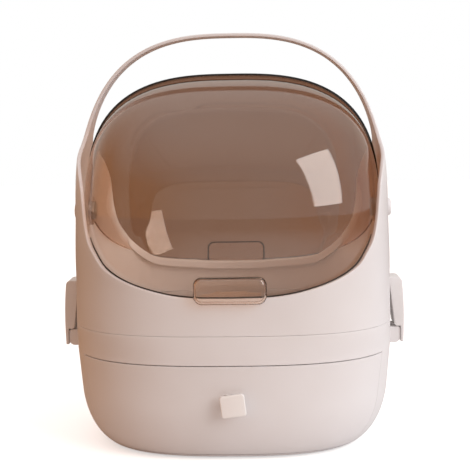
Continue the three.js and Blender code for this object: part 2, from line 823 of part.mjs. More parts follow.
function drawerRail(side) {
  const x = side * railHalfSpacing;
  return box(
    x - railHalfWidth,
    x + railHalfWidth,
    -railHalfLength,
    railHalfLength,
    floorTop + seatGap,
    trayFloorHeight - seatGap,
  );
}

// Where a piece of the bowl's wall lies in front of a point, seen along Y
function wallDepth(x, z, insetX, insetY) {
  const share = Math.abs(x) / (halfWidthAt(z) - insetX);
  return (halfDepthAt(z) - insetY) * (1 - share ** powerAt(z)) ** (1 / powerAt(z));
}

function trayFrontInner(x, z) {
  return wallDepth(x, z, baseWall + trayWall, baseWall + drawerEndGap + trayWall);
}

function drawerFront() {
  const reach = bodyHalfWidth + overrun;
  const top = bowlTop - 2 * seamGap;
  let front = bodyLoft(floorTop, bowlTop, 0).subtract(bodyLoft(0, ringTop, baseWall));
  front = front.intersect(box(-reach, reach, -reach, -drawerSplit, drawerFrontBottom, top));
  for (const x of [-bossHalfSpacing, bossHalfSpacing]) {
    const inner = -wallDepth(x, bossHeight, baseWall, baseWall);
    const boss = rodY(bossRadius, inner - weld, -drawerSplit, x, bossHeight).subtract(
      trayLoft(floorTop, bowlTop, -seatGap),
    );
    const hole = rodY(screwRadius + seatGap, inner - screwBite - seatGap, 0, x, bossHeight);
    front = front.add(boss).subtract(hole);
  }
  const slotX = stubHalfWidth + seatGap;
  const stubTop = pullTop + seatGap;
  return front.subtract(box(-slotX, slotX, -reach, 0, pullTop - stubHeight - seatGap, stubTop));
}

// Pull: a tongue that stands off the drawer front, with a stub through its wall
function pullFace() {
  return halfDepthAt(pullTop) + pullGap;
}

function drawerPull() {
  const bottom = pullTop - pullLength;
  const outline = roundedRectangle(-pullHalfWidth, pullHalfWidth, bottom, pullTop, pullCorner);
  const face = pullFace();
  const tongue = extrude(outline, pullThickness)
    .rotateX(Math.PI / 2)
    .translate(0, 0, -pullTop)
    .rotateY(-radians(pullTilt))
    .translate(0, -face, pullTop);
  const stubRear = -wallDepth(0, pullTop, baseWall, baseWall);
  const stub = box(-stubHalfWidth, stubHalfWidth, -face - weld, stubRear, pullTop - stubHeight, pullTop);
  const bore = rodY(screwRadius + seatGap, -face, 0, 0, pullTop - stubHeight / 2);
  return solid(tongue).add(stub).subtract(bore);
}

function pullScrew() {
  const seat = -wallDepth(0, pullTop, baseWall, baseWall) + runGap;
  return screwY(0, pullTop - stubHeight / 2, seat, pullGap);
}

function drawerScrew(x) {
  const seat = -trayFrontInner(Math.abs(x) + screwHeadRadius, bossHeight - screwHeadRadius) + seatGap;
  const tip = -wallDepth(x, bossHeight, baseWall, baseWall) - screwBite;
  return screwY(x, bossHeight, seat, seat - tip);
}

// Cosmetics tray and dividers
function cosmeticsTray() {
  const bottom = deckTop + seatGap;
  const top = bottom + cosmeticsHeight;
  const inner = cosmeticsInset + cosmeticsWall;
  return bodyLoft(bottom, top, cosmeticsInset).subtract(bodyLoft(bottom + cosmeticsWall, top + overrun, inner));
}

function trayDivider(x) {
  const bottom = deckTop + 2 * seatGap + cosmeticsWall;
  const half = dividerThickness / 2;
  const inner = cosmeticsInset + cosmeticsWall + seatGap;
  const plate = box(x - half, x + half, -bodyHalfDepth, bodyHalfDepth, bottom, bottom + dividerHeight);
  return plate.intersect(bodyLoft(0, ringTop, inner));
}

function rubberFoot(x, y) {
  const disc = rodZ(footRadius, 0, footHeight, x, y);
  return disc.add(rodZ(footStubRadius, footHeight - weld, baseBottom + footStubHeight - seatGap, x, y));
}

addPiece("base_housing", baseHousing(), blush);
addPiece("middle_deck", middleDeck(), cream);
addPiece("upper_shell", upperShell(), blush);
addPiece("front_lid", frontLid(), amber);
addPiece("rear_lid", rearLid(), amber);
addPiece("drawer_tray", drawerTray(), cream);
addPiece("drawer_front", drawerFront(), blush);
addPiece("drawer_pull", drawerPull(), blushPull);
addPiece("pull_screw", pullScrew(), steel);
addPiece("cosmetics_tray", cosmeticsTray(), cream);
for (const [name, side] of sides) {
  addSidePiece("hinge_pin_" + name, hingePin(), steel, side);
  addSidePiece("hinge_cap_" + name, hingeCap(), blush, side);
  addSidePiece("side_latch_" + name, sideLatch(), blush, side);
  addSidePiece("latch_pin_" + name, latchPin(), blush, side);
  addPiece("drawer_rail_" + name, drawerRail(side), cream);
  addPiece("drawer_screw_" + name, drawerScrew(side * bossHalfSpacing), steel);
  addPiece("tray_divider_" + name, trayDivider(side * dividerHalfSpacing), cream);
}
deckScrewPlaces().forEach(({ x, y }, i) => {
  const length = deckThickness + ledgeThickness;
  addPiece("deck_screw_" + (i + 1), screwZ(x, y, deckTop + seatGap, length), steel);
});
footPlaces().forEach(([x, y], i) => {
  addPiece("rubber_foot_" + (i + 1), rubberFoot(x, y), rubber);
});

export default model;
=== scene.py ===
"""Looks of the dustproof makeup organizer: fine mouldings, their finishes, light and camera.

Sizes are in millimetres and turned to metres where a mesh is made. Front towards -Y, +Z up.
"""

import math

import bmesh
import bpy
from mathutils import Matrix, Vector


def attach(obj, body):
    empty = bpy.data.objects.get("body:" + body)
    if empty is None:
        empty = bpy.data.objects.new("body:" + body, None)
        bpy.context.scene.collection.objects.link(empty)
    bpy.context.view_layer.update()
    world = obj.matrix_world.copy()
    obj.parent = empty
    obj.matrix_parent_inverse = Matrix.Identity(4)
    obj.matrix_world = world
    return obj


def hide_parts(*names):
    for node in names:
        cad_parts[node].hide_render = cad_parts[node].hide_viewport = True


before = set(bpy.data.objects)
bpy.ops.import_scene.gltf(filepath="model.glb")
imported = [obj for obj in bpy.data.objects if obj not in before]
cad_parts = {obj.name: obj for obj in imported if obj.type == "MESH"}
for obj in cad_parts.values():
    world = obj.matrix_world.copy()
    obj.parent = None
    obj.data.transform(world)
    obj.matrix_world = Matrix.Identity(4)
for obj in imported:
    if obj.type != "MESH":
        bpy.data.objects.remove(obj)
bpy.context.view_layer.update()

MM = 0.001
RIGHT_ANGLE = math.pi / 2

# Clearances and overlaps
SEAT_GAP = 0.3
RUN_GAP = 0.5
SEAM_GAP = 0.4
OVERRUN = 8  # how far a cutting solid passes what it cuts
WELD = 1  # how far a joined solid sinks into the one that carries it
SHARP_ROUND = 0.1  # an edge that is only just broken

# Body in plan and height
BODY_HALF_WIDTH = 124.9
BODY_HALF_DEPTH = 93.5
BOWL_POWER = 2.7
RING_POWER = 2.95
SHOULDER_POWER = 3.3
BOWL_TOP = 74.3
BOWL_TAPER = 7.5
BOWL_ROUND_HEIGHT = 42
BOWL_ROUND_WIDTH = 25
BOWL_ROUND_DEPTH = 18
BASE_WALL = 3.6
BASE_BOTTOM = 1.5
FLOOR_THICKNESS = 2.7
RING_TOP = 95.2
EASE_HEIGHT = 45
EASE_WIDTH = 1.1
BASE_ROUND = 1.2
SEAM_ROUND = 0.45
SHELL_SEAM = 0.25
SHELL_SEAM_ROUND = 0.2

# Shell, rim and handle
SHELL_WALL = 2.9
PIVOT_HEIGHT = 179
RIM_DROP = 56.6
HANDLE_RISE = 143.6
HANDLE_THICKNESS = 3.3
HANDLE_HALF_DEPTH = 9
HANDLE_POWER = 2.71
HANDLE_CROWN = 0.9
CROWN_START = 40  # climb from the hinge axis
CROWN_FADE = 60
THICKEN_FADE = 60  # climb over which the wall grows to the handle's thickness
LIP_REACH = 9
LIP_HEIGHT = 6
LIP_TOP_DROP = 13
LIP_FADE = 14
REAR_LIP_DROP = 42  # lower than in front, because the opened front lid passes here
REAR_LIP_FADE = 22
LIP_DEPTH = 3.6
LIP_BLEND = 0.6
LIP_FILLET = 0.5
LIP_SEARCH_STEP = 0.05
# The dark strip along the rim, close to the front lid, is painted shade for the line where the lid meets the
# rim
SHADE_STRIP_ROOT = 0.8
SHADE_STRIP_RISE = 0.9
SHADE_STRIP_GAP = 0.07
SHADE_STRIP_THICKNESS = 0.3
SHADE_STRIP_END_DROP = 14
SHADE_STRIP_FADE = 8
SHADE_STRIP_END_SHARE = 0.1
DEEPEST_LID = 14
RIM_ROUND = 0.9
RIM_STEP = 0.2
SIDE_OUTLINE_SHARES = [
    (1, -1),
    (0.961, -0.906),
    (0.935, -0.855),
    (0.864, -0.721),
    (0.815, -0.615),
    (0.779, -0.484),
    (0.722, -0.3),
    (0.669, -0.03),
    (0.639, 0.083),
    (0.598, 0.172),
    (0.485, 0.262),
    (0.308, 0.324),
    (0.13, 0.379),
    (0.047, 0.434),
    (0.012, 0.524),
    (0, 0.69),
    (0, 1.08),
]
REAR_DIP_START_SHARE = 0.82
REAR_DIP_END_SHARE = 0.95

# Lids
LID_POWER = 2.83
LID_WALL = 1.6
LID_SIDE_GAP = 0.6
LID_END_GAP = 0.8
LID_STEP = 4.3
LID_TUCK = 2
REAR_LID_LIFT = 0.5
LID_OVERLAP_ANGLE = 3
# The dark band behind the front tab's lower edge, painted shade
SHADE_BAND_WIDTH = 1.1
SHADE_BAND_DEPTH = 0.3
SHADE_BAND_ROUND = 0.01
REAR_LID_LEAD = 1.5
HUB_RADIUS = 12
PIN_RADIUS = 4
CAP_RADIUS = 7
CAP_HEIGHT = 4.7
CAP_ROUND = 1.6
CAP_FLAT_START = 0.5

# Finger tabs
TAB_HALF_WIDTH = 26.5
TAB_HEIGHT = 20
TAB_CORNER = 6.5
TAB_HANG = 3.4
FRONT_TAB_REACH = 7.5
REAR_TAB_REACH = 11.7
TAB_NECK_LIFT = 3.8
TAB_ROUND = 4
TAB_WALL = 1.3
TAB_INSIDE = 40  # where a tab's neck and room begin, well inside the dome

# Side latches
LATCH_HALF_WIDTH = 11
LATCH_BOTTOM = 71.3
LATCH_TOP = 123
LATCH_CORNER = 4.2
LATCH_BOTTOM_REACH = 11.4
LATCH_BELLY_REACH = 12.2
LATCH_TOP_REACH = 11.2
LATCH_SKIN = 2
LATCH_TOP_GAP = 0.4
LATCH_BELLY_GAP = 4.4
LATCH_FOOT = 83.8
LATCH_FOOT_CORNER = 2.5
LATCH_PIN_REACH = 4.7
LATCH_PIN_HEIGHT = 75
LATCH_PIN_RADIUS = 1.8
LATCH_EDGE = 0.8
LUG_RADIUS = 3.9
LUG_HALF_WIDTH = 4.7
BRACKET_HALF_WIDTH = 9.5
BRACKET_TOP = 83.2
BRACKET_CORNER = 2
BRACKET_ROUND = 0.5
BRACKET_GAP = 0.15
PIN_END_SKIN = 1.4

# Drawer and pull
DRAWER_SPLIT = 54
DRAWER_FRONT_BOTTOM = 4.6
PULL_HALF_WIDTH = 9
PULL_TOP = 54.4
PULL_LENGTH = 15.8
PULL_THICKNESS = 2.5
PULL_GAP = 4.9
PULL_TILT = math.radians(7)
PULL_CORNER = 2
PULL_ROUND = 0.8
STUB_HALF_WIDTH = 5
STUB_HEIGHT = 6
STUB_DROP = 2.2
STUB_CORNER = 1

# How finely the mouldings are drawn
PLAN_STEPS = 160
LOFT_STEPS = 40
LID_TURN_STEPS = 180
LID_PROFILE_STEPS = 72
CAP_TURN_STEPS = 48
ROD_STEPS = 40
CORNER_STEPS = 10
SMALL_CORNER_STEPS = 8
FOOT_CORNER_STEPS = 6
ROUND_STEPS = 5
SEAM_ROUND_STEPS = 3
LATCH_FACE_STEPS = 16
OUTLINE_STEPS = 24
ROOT_STEPS = 60
RIM_COLUMNS = 110
HANDLE_COLUMNS = 46
SHELL_ROWS = 12
SEARCH_HALVINGS = 12
WEDGE_STEP = math.radians(15)
SMOOTH_ANGLE = math.radians(32)
FACE_NUDGE = 0.01  # radians to each side, and the same share of the body's half depth up and down
TURN_NUDGE = 0.002  # radians
CLIMB_NUDGE = 0.05
SAME_HEIGHT = 0.001
MERGE_DISTANCE = 0.0005
MITRE_LIMIT = 2  # a corner of an outline moves in by at most this many insets

# Worked out from the sizes above
SHELL_BOTTOM = RING_TOP + SHELL_SEAM
RIM_FRONT = PIVOT_HEIGHT - RIM_DROP
PIVOT_HALF_WIDTH = BODY_HALF_WIDTH - EASE_WIDTH
FLOOR_TOP = BASE_BOTTOM + FLOOR_THICKNESS
FRONT_LID_RADIUS = math.hypot(BODY_HALF_DEPTH - LIP_DEPTH, RIM_DROP)
REAR_LID_RADIUS = FRONT_LID_RADIUS + LID_STEP
REAR_LID_HALF_WIDTH = PIVOT_HALF_WIDTH - SHELL_WALL - LID_END_GAP
FRONT_LID_HALF_WIDTH = REAR_LID_HALF_WIDTH - LID_WALL - LID_SIDE_GAP
FRONT_LID_EDGE = -math.asin((RIM_DROP + LID_TUCK) / FRONT_LID_RADIUS)
REAR_LID_EDGE = math.pi + math.asin((RIM_DROP - REAR_LID_LIFT) / REAR_LID_RADIUS)
LATCH_PIN_X = BODY_HALF_WIDTH + LATCH_PIN_REACH
ARCH_LENGTH = HANDLE_RISE + PIVOT_HALF_WIDTH / 2


def linear(hex_colour):
    """An sRGB hex colour as linear RGBA."""
    channels = [int(hex_colour[i : i + 2], 16) / 255 for i in (1, 3, 5)]
    return [c / 12.92 if c <= 0.04045 else ((c + 0.055) / 1.055) ** 2.4 for c in channels] + [1]


def smooth_step(share):
    s = min(max(share, 0), 1)
    return s * s * (3 - 2 * s)


def mix(start, end, share):
    return start + (end - start) * share


def full_turn(steps):
    return [2 * math.pi * i / steps for i in range(steps)]


def quarter_turn(steps):
    return [RIGHT_ANGLE * i / steps for i in range(steps + 1)]


# Finishes

FLOW_MM = 70  # the melt's colour and thickness drift over about this width
TONE_EDGE_SHARES = (0.35, 0.65)
SHEEN_SPREAD = 0.03
WAVE_MM = 0.1
SPARE_DENSITY = 1.05  # keeps each colour's share of the loss under 1
LATHE_MARK_MM = 0.35
WAVE_PHASE = 20  # radians that the wave texture turns over one unit of its scale


def new_material(name):
    material = bpy.data.materials.new(name)
    material.use_nodes = True
    material.node_tree.nodes.clear()
    return material


def node(material, kind, settings=None, links=None):
    """Adds a node: settings go to its properties or sockets, links come from (node, output) pairs."""
    made = material.node_tree.nodes.new(kind)
    for key, value in (settings or {}).items():
        if key in made.inputs:
            made.inputs[key].default_value = value
        else:
            setattr(made, key, value)
    for key, (source, output) in (links or {}).items():
        material.node_tree.links.new(source.outputs[output], made.inputs[key])
    return made


def moulded(name, pale, deep, roughness, grain_mm, relief_mm, extra=None):
    """Moulded plastic: a slow drift of colour from the melt's flow, and the mould's fine texture as bump."""
    material = new_material(name)
    place = node(material, "ShaderNodeTexCoord")
    flow = node(
        material,
        "ShaderNodeTexNoise",
        {"Scale": 1 / (FLOW_MM * MM), "Detail": 2.0, "Roughness": 0.5},
        {"Vector": (place, "Object")},
    )
    tone = node(material, "ShaderNodeValToRGB", links={"Fac": (flow, "Fac")})
    for stop, edge_share, colour in zip(tone.color_ramp.elements, TONE_EDGE_SHARES, (deep, pale)):
        stop.position = edge_share
        stop.color = linear(colour)
    grain = node(
        material,
        "ShaderNodeTexNoise",
        {"Scale": 1 / (grain_mm * MM), "Detail": 2.0, "Roughness": 0.6},
        {"Vector": (place, "Object")},
    )
    sheen = node(
        material,
        "ShaderNodeMapRange",
        {"To Min": roughness - SHEEN_SPREAD, "To Max": roughness + SHEEN_SPREAD},
        {"Value": (grain, "Fac")},
    )
    bump = node(
        material,
        "ShaderNodeBump",
        {"Strength": 1.0, "Distance": relief_mm * MM},
        {"Height": (grain, "Fac")},
    )
    shader = node(
        material,
        "ShaderNodeBsdfPrincipled",
        {"IOR": 1.54, **(extra or {})},
        {"Base Color": (tone, "Color"), "Roughness": (sheen, "Result"), "Normal": (bump, "Normal")},
    )
    node(material, "ShaderNodeOutputMaterial", links={"Surface": (shader, "BSDF")})
    return material


def clear_amber(name, through_one_wall):
    """Polystyrene tinted in the melt and moulded in a polished tool: clear, glossy, with faint flow waves.

    Its depth takes the light, so walls are pale and edges seen along the wall are dark. Lamps and soft light
    pass straight through, so that they reach what is inside.
    """
    material = new_material(name)
    place = node(material, "ShaderNodeTexCoord")
    waves = node(
        material,
        "ShaderNodeTexNoise",
        {"Scale": 1 / (FLOW_MM * MM), "Detail": 1.0},
        {"Vector": (place, "Object")},
    )
    bump = node(
        material,
        "ShaderNodeBump",
        {"Strength": 0.25, "Distance": WAVE_MM * MM},
        {"Height": (waves, "Fac")},
    )
    wall = node(
        material,
        "ShaderNodeBsdfPrincipled",
        {"Base Color": linear("#FFFFFF"), "Roughness": 0.02, "IOR": 1.57, "Transmission Weight": 1.0},
        {"Normal": (bump, "Normal")},
    )
    passing = node(material, "ShaderNodeBsdfTransparent", {"Color": linear("#FFFFFF")})
    ray = node(material, "ShaderNodeLightPath")
    either = node(
        material,
        "ShaderNodeMath",
        {"operation": "MAXIMUM"},
        {0: (ray, "Is Shadow Ray"), 1: (ray, "Is Diffuse Ray")},
    )
    shader = node(
        material,
        "ShaderNodeMixShader",
        links={0: (either, "Value"), 1: (wall, "BSDF"), 2: (passing, "BSDF")},
    )
    losses = [-math.log(share) / (LID_WALL * MM) for share in linear(through_one_wall)[:3]]
    density = SPARE_DENSITY * max(losses)
    depth = node(
        material,
        "ShaderNodeVolumeAbsorption",
        {"Color": [1 - loss / density for loss in losses] + [1], "Density": density},
    )
    node(
        material,
        "ShaderNodeOutputMaterial",
        links={"Surface": (shader, "Shader"), "Volume": (depth, "Volume")},
    )
    return material


def turned_steel(name):
    """Plated steel pins and screws: bright, with the rings that the lathe leaves."""
    material = new_material(name)
    place = node(material, "ShaderNodeTexCoord")
    rings = node(
        material,
        "ShaderNodeTexWave",
        {
            "wave_type": "RINGS",
            "Scale": 2 * math.pi / (WAVE_PHASE * LATHE_MARK_MM * MM),
            "Distortion": 0.6,
        },
        {"Vector": (place, "Object")},
    )
    sheen = node(
        material,
        "ShaderNodeMapRange",
        {"To Min": 0.22, "To Max": 0.34},
        {"Value": (rings, "Fac")},
    )
    shader = node(
        material,
        "ShaderNodeBsdfPrincipled",
        {"Base Color": linear("#B9BBBD"), "Metallic": 1.0},
        {"Roughness": (sheen, "Result")},
    )
    node(material, "ShaderNodeOutputMaterial", links={"Surface": (shader, "BSDF")})
    return material


# Injection-moulded ABS from a satin tool: soft broad highlights and almost no visible texture. The tool's
# real grain is finer than a pixel, so it is drawn at the width given here.
satin_abs = moulded(
    "satin_moulded_abs_blush", "#E3E0E0", "#DFDBDA", roughness=0.34, grain_mm=0.6, relief_mm=0.0008
)
# The same resin from a finer tool, paler and a shade warmer
satin_abs_pull = moulded(
    "satin_moulded_abs_pull", "#F0EEEC", "#EDE9E6", roughness=0.3, grain_mm=0.6, relief_mm=0.0008
)
# Polypropylene inside parts: duller, a little waxy
inner_polypropylene = moulded(
    "matt_polypropylene_cream",
    "#E2D3C8",
    "#DBCABD",
    roughness=0.5,
    grain_mm=0.8,
    relief_mm=0.01,
    extra={"Subsurface Weight": 0.05},
)
# Nitrile rubber: dark and dull with a coarse skin. The feet are of it; the dark strip along the rim wears it
# too, as painted shade
rubber_for_feet_and_rim_shade = moulded(
    "brown_rubber_and_painted_rim_shade", "#55504C", "#45413E", roughness=0.85, grain_mm=0.4, relief_mm=0.06
)
# Both lids are of one resin: glossy and see-through, a warm brown that deepens where two walls overlap
amber = clear_amber("clear_polystyrene_amber", "#F6ECE4")
# The front tab's lower edge: painted shade, a flat dark brown for the dark line that the resin seen along
# its wall and the shade under the tab make there
tab_shade_paint = moulded(
    "painted_shade_under_tab", "#4A3024", "#38241A", roughness=0.2, grain_mm=0.6, relief_mm=0.0008
)
# Steel, plated and turned: hard bright glints on pins and screws
steel = turned_steel("turned_steel")


# Meshes


def make_object(name, points, faces, material):
    """A mesh object from points in millimetres."""
    mesh = bpy.data.meshes.new(name)
    mesh.from_pydata([tuple(c * MM for c in point) for point in points], [], faces)
    work = bmesh.new()
    work.from_mesh(mesh)
    bmesh.ops.remove_doubles(work, verts=work.verts, dist=MERGE_DISTANCE * MM)
    bmesh.ops.recalc_face_normals(work, faces=work.faces)
    work.to_mesh(mesh)
    work.free()
    mesh.materials.append(material)
    made = bpy.data.objects.new(name, mesh)
    bpy.context.scene.collection.objects.link(made)
    return made


def stack(name, rings, material):
    """A solid through rings of equally many points, flat at both ends."""
    count = len(rings[0])
    points = [point for ring in rings for point in ring]
    faces = []
    for level in range(len(rings) - 1):
        for i in range(count):
            a = level * count + i
            b = level * count + (i + 1) % count
            faces.append((a, b, b + count, a + count))
    faces.append(tuple(reversed(range(count))))
    faces.append(tuple(range((len(rings) - 1) * count, len(rings) * count)))
    return make_object(name, points, faces, material)


def block(name, left, right, front, back, bottom, top, material):
    plan = ((left, front), (right, front), (right, back), (left, back))
    return stack(name, [[(x, y, z) for x, y in plan] for z in (bottom, top)], material)


def combine(target, tool, operation):
    """Joins a solid to the target, cuts it away or keeps what both share, and deletes the tool."""
    modifier = target.modifiers.new(operation.lower(), "BOOLEAN")
    modifier.object = tool
    modifier.operation = operation
    modifier.solver = "MANIFOLD"
    graph = bpy.context.evaluated_depsgraph_get()
    mesh = bpy.data.meshes.new_from_object(target.evaluated_get(graph))
    target.modifiers.clear()
    target.data = mesh
    bpy.data.objects.remove(tool)
    return target


def mirrored(piece, side):
    """Turns a piece made for the right side into the left one, where side says so."""
    if side < 0:
        piece.data.transform(Matrix.Diagonal((-1, 1, 1, 1)))
        piece.data.flip_normals()
    return piece


def finish_piece(piece, body, slot, *nodes):
    """Smooths a piece over its shallow edges and hands it to the frame."""
    piece.data.shade_smooth()
    piece.data.set_sharp_from_angle(angle=SMOOTH_ANGLE)
    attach(piece, body)
    if nodes:
        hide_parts(*nodes)
    return piece


# The body's outline


def bowl_rounding(z):
    """How far the bowl's foot is rounded in at a height, as a share."""
    down = max(0, 1 - z / BOWL_ROUND_HEIGHT)
    return 1 - math.sqrt(1 - down * down)


def bowl_lean(z):
    return BOWL_TAPER * max(0, 1 - z / BOWL_TOP)


def half_width_at(z):
    ease = EASE_WIDTH * smooth_step(1 - (PIVOT_HEIGHT - z) / EASE_HEIGHT)
    return BODY_HALF_WIDTH - bowl_lean(z) - BOWL_ROUND_WIDTH * bowl_rounding(z) - ease


def half_depth_at(z):
    return BODY_HALF_DEPTH - bowl_lean(z) - BOWL_ROUND_DEPTH * bowl_rounding(z)


def power_at(z):
    to_ring = smooth_step((z - BOWL_TOP) / (RING_TOP - BOWL_TOP))
    to_shoulder = smooth_step((z - RIM_FRONT) / (PIVOT_HEIGHT - LIP_TOP_DROP - RIM_FRONT))
    return BOWL_POWER + (RING_POWER - BOWL_POWER) * to_ring + (SHOULDER_POWER - RING_POWER) * to_shoulder


def plan_point(half_width, half_depth, power, angle):
    """A point of a superellipse, spaced by its own angle."""
    c = math.cos(angle)
    s = math.sin(angle)
    reach = (abs(c) ** power + abs(s) ** power) ** (-1 / power)
    return half_width * c * reach, half_depth * s * reach


def plan_angle(depth_share, power):
    """The angle at which a superellipse has a share of its half depth."""
    return math.atan2(depth_share, (1 - depth_share**power) ** (1 / power))


def plan_ring(half_width, half_depth, power, z):
    return [(*plan_point(half_width, half_depth, power, turn), z) for turn in full_turn(PLAN_STEPS)]


def body_loft(name, start, end, inset, material, ends=(0, 0)):
    """The body's outline between two heights; its ends may be rounded by a small radius."""
    levels = [(mix(start, end, i / LOFT_STEPS), 0) for i in range(LOFT_STEPS + 1)]
    for radius, edge, way in ((ends[0], start, 1), (ends[1], end, -1)):
        if radius:
            levels = [level for level in levels if (level[0] - edge) * way > radius]
            for turn in quarter_turn(SEAM_ROUND_STEPS):
                z = edge + way * radius * (1 - math.cos(turn))
                levels.append((z, radius * (1 - math.sin(turn))))
    rings = []
    for z, rounding in sorted(levels):
        width = half_width_at(z) - inset - rounding
        depth = half_depth_at(z) - inset - rounding
        rings.append(plan_ring(width, depth, power_at(z), z))
    return stack(name, rings, material)


# Rods, rounded plates and outlines


def rod(name, axis, radius, start, end, first, second, material):
    """A cylinder along x or y; first and second are its other two places, in the order x, y, z."""
    rings = []
    for along in (start, end):
        ring = []
        for turn in full_turn(ROD_STEPS):
            one = first + radius * math.cos(turn)
            two = second + radius * math.sin(turn)
            ring.append((along, one, two) if axis == "x" else (one, along, two))
        rings.append(ring)
    return stack(name, rings, material)


def inward(outline, inset):
    """A closed outline in two coordinates moved in by an inset; it runs anticlockwise."""
    moved = []
    for i, (x, y) in enumerate(outline):
        before = outline[i - 1]
        after = outline[(i + 1) % len(outline)]
        first = Vector((x - before[0], y - before[1])).normalized()
        second = Vector((after[0] - x, after[1] - y)).normalized()
        normal = Vector((-first.y - second.y, first.x + second.x)).normalized()
        spread = max(1 / MITRE_LIMIT, normal.dot(Vector((-first.y, first.x))))
        moved.append((x + normal.x * inset / spread, y + normal.y * inset / spread))
    return moved


def cushion(name, outline, start, end, start_round, end_round, material):
    """An outline in x and z, extruded along Y between two places with rounded edges."""
    sections = []
    for radius, place, way in ((start_round, start, 1), (end_round, end, -1)):
        for turn in quarter_turn(ROUND_STEPS):
            sections.append((place + way * radius * (1 - math.sin(turn)), radius * (1 - math.cos(turn))))
    rings = [[(x, y, z) for x, z in inward(outline, inset)] for y, inset in sorted(sections)]
    return stack(name, rings, material)


def rounded_rectangle(left, right, bottom, top, corner):
    """An outline that runs anticlockwise from the right end of its lower side."""
    low = bottom + corner
    high = top - corner
    centres = [(right - corner, low), (right - corner, high), (left + corner, high), (left + corner, low)]
    points = []
    for quarter, (x, z) in enumerate(centres):
        for turn in quarter_turn(CORNER_STEPS):
            angle = turn + RIGHT_ANGLE * (quarter - 1)
            points.append((x + corner * math.cos(angle), z + corner * math.sin(angle)))
    return points


def quadratic(start, control, end, steps):
    """The points of a quadratic curve that follow its start."""
    points = []
    for i in range(1, steps + 1):
        s = i / steps
        first = (1 - s) ** 2
        middle = 2 * s * (1 - s)
        last = s * s
        points.append(tuple(first * a + middle * b + last * c for a, b, c in zip(start, control, end)))
    return points


# Shell and handle


def arch(climb):
    """Half width and height of the arch's outer face at a distance up from the hinge axis."""
    turn = RIGHT_ANGLE * climb / ARCH_LENGTH
    half_width, rise = plan_point(PIVOT_HALF_WIDTH, HANDLE_RISE, HANDLE_POWER, turn)
    return half_width, PIVOT_HEIGHT + rise


def shell_face(angle, climb):
    """A point of the shell's outer face from its plan angle and its climb from the hinge axis."""
    if climb > 0:
        half_width, z = arch(climb)
    else:
        z = PIVOT_HEIGHT + climb
        half_width = half_width_at(z)
    x, y = plan_point(half_width, BODY_HALF_DEPTH, power_at(z), angle)
    return Vector((x, y, z))


def shell_point(angle, climb, depth):
    """The point at a depth under the outer face, with the face crowned along the handle."""
    place = shell_face(angle, climb)
    along = shell_face(angle + FACE_NUDGE, climb) - shell_face(angle - FACE_NUDGE, climb)
    rise = FACE_NUDGE * BODY_HALF_DEPTH
    up = shell_face(angle, climb + rise) - shell_face(angle, climb - rise)
    normal = along.cross(up).normalized()
    crown = HANDLE_CROWN * min(1, (place.y / HANDLE_HALF_DEPTH) ** 2)
    crown *= smooth_step((climb - CROWN_START) / CROWN_FADE)
    outer_share = max(0, 1 - depth / HANDLE_THICKNESS)
    return place - normal * (depth + crown * outer_share)


def curve_through(points, steps):
    """Centripetal Catmull-Rom curve through points in two coordinates."""
    first = Vector(points[0]) * 2 - Vector(points[1])
    last = Vector(points[-1]) * 2 - Vector(points[-2])
    knots = [first, *map(Vector, points), last]
    made = []
    for i in range(1, len(knots) - 2):
        before, start, end, after = knots[i - 1 : i + 3]
        coming = (start - before).length ** 0.5
        span = (end - start).length ** 0.5
        going = (after - end).length ** 0.5
        leave = ((start - before) / coming - (end - before) / (coming + span) + (end - start) / span) * span
        arrive = ((end - start) / span - (after - start) / (span + going) + (after - end) / going) * span
        square = 3 * (end - start) - 2 * leave - arrive
        cube = 2 * (start - end) + leave + arrive
        for j in range(steps):
            s = j / steps
            made.append(start + leave * s + square * s**2 + cube * s**3)
    made.append(knots[-2])
    return made


def to_domain(depth, z):
    """Plan angle and climb on the outer face, from the distance to the middle plane and the height."""
    angle = plan_angle(min(depth / BODY_HALF_DEPTH, 1), power_at(z))
    if z <= PIVOT_HEIGHT:
        return Vector((angle, z - PIVOT_HEIGHT))
    turn = plan_angle(min((z - PIVOT_HEIGHT) / HANDLE_RISE, 1), HANDLE_POWER)
    return Vector((angle, ARCH_LENGTH * turn / RIGHT_ANGLE))


def resample(points, count):
    """Points at equal steps along a path on the outer face, given and returned in plan angle and climb."""
    lengths = [0]
    for start, end in zip(points, points[1:]):
        lengths.append(lengths[-1] + (shell_face(*end) - shell_face(*start)).length)
    made = []
    i = 0
    for step in range(count + 1):
        target = lengths[-1] * step / count
        while i < len(points) - 2 and lengths[i + 1] < target:
            i += 1
        span = lengths[i + 1] - lengths[i]
        made.append(points[i].lerp(points[i + 1], (target - lengths[i]) / span if span else 0))
    return made


